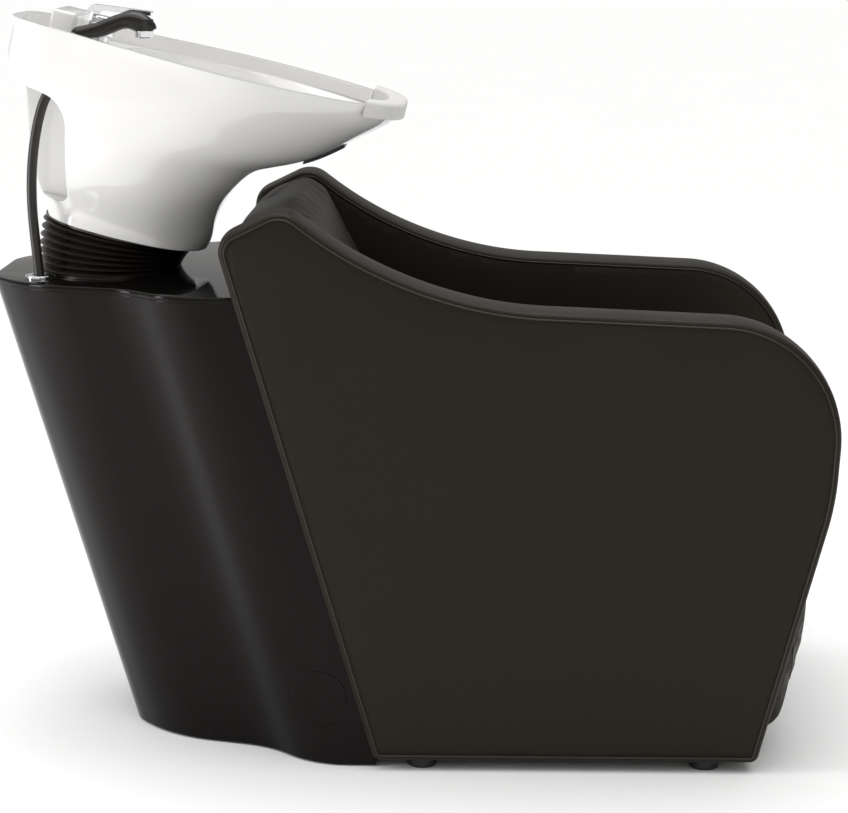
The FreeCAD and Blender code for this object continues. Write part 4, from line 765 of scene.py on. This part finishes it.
class BedSizes(bpy.types.PropertyGroup):
    arm_edge: bpy.props.FloatProperty(
        name="Arm Edge", description="Rounding from the boxed edge to the seam",
        unit="LENGTH", min=0.004, max=0.012, default=0.0085)
    seam_width: bpy.props.FloatProperty(
        name="Seam Width", description="Half the width of a sewn seam's valley",
        unit="LENGTH", min=0.0005, max=0.004, default=0.0016)
    seam_depth: bpy.props.FloatProperty(
        name="Seam Depth", description="Depth of a sewn seam's valley",
        unit="LENGTH", min=0.0, max=0.005, default=0.0022)
    arm_crown: bpy.props.FloatProperty(
        name="Arm Crown", description="How far an arm's faces swell inside their seams",
        unit="LENGTH", min=0.0, max=0.008, default=0.0045)
    welt_radius: bpy.props.FloatProperty(
        name="Welt Radius", description="Radius of the piping in the seams",
        unit="LENGTH", min=0.0005, max=0.004, default=0.0012)
    cushion_swell: bpy.props.FloatProperty(
        name="Cushion Swell", description="How far a cushion's stuffing may push out its cover",
        unit="LENGTH", min=0.0, max=0.016, default=0.010)
    cushion_seam: bpy.props.FloatProperty(
        name="Cushion Seam", description="How far below its crown a cushion's piping runs",
        unit="LENGTH", min=0.005, max=0.05, default=0.022)


class StageSettings(bpy.types.PropertyGroup):
    floor: bpy.props.FloatVectorProperty(
        name="Floor", description="Colour of the floor",
        subtype="COLOR", size=3, min=0.0, max=1.0, default=(0.95, 0.95, 0.95))
    sky_strength: bpy.props.FloatProperty(
        name="Sky Light", description="Strength of the even light from straight above",
        min=0.0, default=1.9)
    room_strength: bpy.props.FloatProperty(
        name="Room Light", description="Strength of the pale light from all round",
        min=0.0, default=0.45)
    key_power: bpy.props.FloatProperty(
        name="Overhead Light", description="Power of the soft light above",
        unit="POWER", min=0.0, default=20.0)
    strip_power: bpy.props.FloatProperty(
        name="Side Light", description="Power of the tall soft light at the basin's end",
        unit="POWER", min=0.0, default=40.0)


def colours_now():
    return bpy.context.scene.bed_colours


def sizes_now():
    return bpy.context.scene.bed_sizes


# Operators

class BED_OT_arms(bpy.types.Operator):
    """Make the two padded arms with their welted seams"""
    bl_idname = "bed.arms"
    bl_label = "Arms"

    def execute(self, context):
        material = leather(colours_now())
        # The welts' leather, with a painted highlight in its colour.
        highlit_welt = welt_painted_highlight(colours_now())
        for name, side in (("arm_right", -1), ("arm_left", 1)):
            arm = arm_panel(name, side, material, highlit_welt, sizes_now())
            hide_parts("side_panel_right" if side < 0 else "side_panel_left")
        return {"FINISHED"}


class BED_OT_cushions(bpy.types.Operator):
    """Make the seat cushion, the backrest and the front apron"""
    bl_idname = "bed.cushions"
    bl_label = "Cushions"

    def execute(self, context):
        material = bpy.data.materials["upholstery_leather"]
        # The welts' leather, with a painted highlight in its colour.
        highlit_welt = bpy.data.materials["welt_leather_painted_highlight"]
        sizes = sizes_now()
        ahead, up, back_face = (1.0, 0.0, 0.0), (0.0, 0.0, 1.0), (1.0, 0.0, LEAN)
        for name, node, open_sides, seam_normal in (
            ("back_pad", "backrest_cushion", (back_face, up), back_face),
            ("seat_pad", "seat_cushion", (up, ahead), up),
            ("apron_pad", "front_apron", (ahead,), ahead),
        ):
            pad = stuffed(name, node, material, open_sides, sizes.cushion_swell)
            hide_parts(node)
            normal = Vector(seam_normal).normalized()
            reach = max(vert.co.dot(normal) for vert in pad.data.vertices)
            seam = seam_line(pad, normal * (reach - sizes.cushion_seam), normal)
            welt(name + "_welt", seam, sizes.welt_radius, highlit_welt)
        return {"FINISHED"}


class BED_OT_pedestal(bpy.types.Operator):
    """Make the gloss pedestal, its top, its service door and its caps"""
    bl_idname = "bed.pedestal"
    bl_label = "Pedestal"

    def execute(self, context):
        material = gloss_shell(colours_now())
        for node in ("pedestal_shell", "pedestal_top", "rear_door", "access_cap_right", "access_cap_left"):
            smooth_copy(node, node + "_gloss", material)
        return {"FINISHED"}


class BED_OT_basin(bpy.types.Operator):
    """Make the ceramic basin with its neck rest and bumper"""
    bl_idname = "bed.basin"
    bl_label = "Basin"

    def execute(self, context):
        smooth_copy("basin", "basin_ceramic", glaze(colours_now()))
        white = plastic("soft_white_foam", (0.66, 0.655, 0.645), 0.46)
        smooth_copy("neck_rest", "neck_rest_moulded", white)
        black = rubber("soft_black_rubber", (0.012, 0.012, 0.012))
        smooth_copy("front_bumper", "front_bumper_moulded", black)
        return {"FINISHED"}


class BED_OT_bellows(bpy.types.Operator):
    """Make the rubber bellows between the pedestal and the basin"""
    bl_idname = "bed.bellows"
    bl_label = "Bellows"

    def execute(self, context):
        low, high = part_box("bellows")
        finish = bellows_rubber(colours_now())
        piece = smooth_copy("bellows", "bellows_folds", finish, 60.0, bend=(low.z, high.z))
        return {"FINISHED"}


class BED_OT_taps(bpy.types.Operator):
    """Make the mixer, the hand shower and its guide"""
    bl_idname = "bed.taps"
    bl_label = "Taps"

    def execute(self, context):
        bright = chrome(colours_now())
        for node in ("mixer_body", "mixer_cap", "mixer_lever", "shower_guide", "spray_ring",
                     "basin_waste", "strainer", "hose_grommet"):
            smooth_copy(node, node + "_plated", bright)
        black = plastic("hand_shower_plastic", (0.010, 0.008, 0.006), 0.20, grain=0.00002)
        smooth_copy("hand_shower", "hand_shower_moulded", black, 40.0)
        painted("spray_face", rubber("spray_rubber", (0.02, 0.02, 0.02)))
        return {"FINISHED"}


class BED_OT_hose(bpy.types.Operator):
    """Make the black shower hose that hangs behind the basin"""
    bl_idname = "bed.hose"
    bl_label = "Shower Hose"

    def execute(self, context):
        material = rubber("hose_rubber", (0.011, 0.009, 0.007), 0.42)
        data = bpy.data.curves.new("hose_line", "CURVE")
        data.dimensions = "3D"
        data.use_fill_caps = True
        data.bevel_resolution = 8
        data.resolution_u = 16
        spline = data.splines.new("NURBS")
        spline.points.add(len(HOSE_ROUTE) - 1)
        for spot, point in zip(spline.points, HOSE_ROUTE):
            spot.co = (*point, 1.0)
        spline.order_u = 3
        spline.use_endpoint_u = True
        data.materials.append(material)
        line = bpy.data.objects.new("hose_line", data)
        bpy.context.scene.collection.objects.link(line)
        middle = [vert.co.copy() for vert in as_mesh(line).vertices]
        data.bevel_depth = HOSE_DIAMETER / 2
        hose = bpy.data.objects.new("shower_hose_run", as_mesh(line))
        bpy.context.scene.collection.objects.link(hose)
        bpy.data.objects.remove(line)
        for polygon in hose.data.polygons:
            polygon.use_smooth = len(polygon.vertices) == 4
        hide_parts("shower_hose")
        bent_by_tilt(hose, HOSE_ROUTE[-1][2], HOSE_ROUTE[0][2])
        painted("hose_tail", material)
        return {"FINISHED"}


class BED_OT_fittings(bpy.types.Operator):
    """Finish the steel, boards, pipes, bolts and feet"""
    bl_idname = "bed.fittings"
    bl_label = "Fittings"

    def execute(self, context):
        steel = painted_steel()
        for node in ("base_frame", "link_frame", "tilt_fork", "basin_cradle"):
            painted(node, steel)
        zinc = zinc_steel()
        for node in ("link_bolts", "tilt_pin", "cradle_bolts", "corner_brackets", "bracket_screws"):
            painted(node, zinc)
        black = plastic("foot_plastic", (0.010, 0.010, 0.010), 0.48)
        for node in ("seat_feet", "base_glides", "tilt_bushes", "waste_nut"):
            painted(node, black)
        grey = plastic("grey_pipe_plastic", (0.42, 0.43, 0.44), 0.40)
        for node in ("drain_trap", "waste_pipe"):
            painted(node, grey)
        low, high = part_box("drain_hose")
        drain = smooth_copy("drain_hose", "drain_hose_run", grey, 40.0, bend=(low.z, high.z))
        boards = plywood()
        for node in ("back_board", "seat_deck", "side_boards", "seat_rails"):
            painted(node, boards)
        metal = brass()
        for node in ("mixer_nut", "stop_valves"):
            painted(node, metal)
        braid = braided_steel()
        for node in ("supply_hose_right", "supply_hose_left"):
            supply = smooth_copy(node, node + "_run", braid, 40.0, bend=(SUPPLY_STILL, SUPPLY_CARRIED))
        return {"FINISHED"}


class BED_OT_stage(bpy.types.Operator):
    """Make the pale floor, the soft lights and the camera"""
    bl_idname = "bed.stage"
    bl_label = "Stage"

    def execute(self, context):
        settings = context.scene.bed_stage
        mesh = bmesh.new()
        bmesh.ops.create_grid(mesh, x_segments=2, y_segments=2, size=FLOOR_REACH)
        data = bpy.data.meshes.new("floor")
        mesh.to_mesh(data)
        mesh.free()
        finish = Finish("pale_floor", Specular_IOR_Level=0.0)
        patches = finish.cloud(1.3, 3.0)
        finish.set(
            Base_Color=finish.mixed(patches, shade(settings.floor, 0.985), shade(settings.floor, 1.0)),
            Roughness=0.80 + patches * 0.10,
        )
        data.materials.append(finish.material)
        floor = bpy.data.objects.new("floor", data)
        context.scene.collection.objects.link(floor)
        sky_light("sky_light", settings.sky_strength)
        soft_light("overhead_light", OVERHEAD_PLACE, OVERHEAD_TARGET, OVERHEAD_SIZE, settings.key_power)
        soft_light("basin_end_light", END_PLACE, END_TARGET, END_SIZE, settings.strip_power)
        soft_light("front_light", FRONT_PLACE, FRONT_TARGET, FRONT_SIZE, FRONT_POWER)
        world = context.scene.world or bpy.data.worlds.new("studio")
        context.scene.world = world
        world.use_nodes = True
        background = world.node_tree.nodes["Background"]
        background.inputs["Color"].default_value = ROOM_TINT
        background.inputs["Strength"].default_value = settings.room_strength
        make_camera(context.scene)
        context.scene.view_settings.view_transform = "Standard"
        return {"FINISHED"}


def sky_light(name, strength, spread=80.0):
    """Light as from an even sky, which reaches the far floor as strongly as the near."""
    data = bpy.data.lights.new(name, "SUN")
    data.energy = strength
    data.angle = math.radians(spread)
    lamp = bpy.data.objects.new(name, data)
    bpy.context.scene.collection.objects.link(lamp)
    return lamp


def soft_light(name, place, target, size, power):
    data = bpy.data.lights.new(name, "AREA")
    data.shape = "RECTANGLE"
    data.size, data.size_y = size
    data.energy = power
    lamp = bpy.data.objects.new(name, data)
    bpy.context.scene.collection.objects.link(lamp)
    lamp.location = place
    lamp.rotation_euler = (Vector(target) - Vector(place)).to_track_quat("-Z", "Y").to_euler()
    return lamp


def make_camera(scene):
    """The photograph's viewpoint: level with the basin, looking a little down."""
    data = bpy.data.cameras.new("camera")
    data.lens = CAMERA_LENS
    data.sensor_width = 36.0
    data.sensor_fit = "HORIZONTAL"
    data.clip_start = 0.1
    data.clip_end = 200.0
    camera = bpy.data.objects.new("camera", data)
    scene.collection.objects.link(camera)
    camera.location = CAMERA_PLACE
    down, left = math.radians(CAMERA_DOWN), math.radians(CAMERA_LEFT)
    gaze = Vector((-math.sin(left) * math.cos(down), math.cos(left) * math.cos(down), -math.sin(down)))
    camera.rotation_euler = gaze.to_track_quat("-Z", "Y").to_euler()
    scene.camera = camera
    return camera


STEPS = ("arms", "cushions", "pedestal", "basin", "bellows", "taps", "hose", "fittings", "stage")


class BED_PT_panel(bpy.types.Panel):
    """Lists the pieces of the washing bed"""
    bl_idname = "BED_PT_panel"
    bl_label = "Washing Bed"
    bl_space_type = "VIEW_3D"
    bl_region_type = "UI"
    bl_category = "Washing Bed"

    def draw(self, context):
        for step in STEPS:
            self.layout.operator("bed." + step)
        for group in (context.scene.bed_sizes, context.scene.bed_colours, context.scene.bed_stage):
            for name in group.__annotations__:
                self.layout.prop(group, name)


CLASSES = (
    BedColours, BedSizes, StageSettings, BED_OT_arms, BED_OT_cushions, BED_OT_pedestal, BED_OT_basin,
    BED_OT_bellows, BED_OT_taps, BED_OT_hose, BED_OT_fittings, BED_OT_stage, BED_PT_panel,
)


def register():
    for made in CLASSES:
        bpy.utils.register_class(made)
    bpy.types.Scene.bed_colours = bpy.props.PointerProperty(type=BedColours)
    bpy.types.Scene.bed_sizes = bpy.props.PointerProperty(type=BedSizes)
    bpy.types.Scene.bed_stage = bpy.props.PointerProperty(type=StageSettings)


def unregister():
    del bpy.types.Scene.bed_stage
    del bpy.types.Scene.bed_sizes
    del bpy.types.Scene.bed_colours
    for made in reversed(CLASSES):
        bpy.utils.unregister_class(made)


def main():
    register()
    for step in STEPS:
        getattr(bpy.ops.bed, step)()


if __name__ == "__main__":
    main()
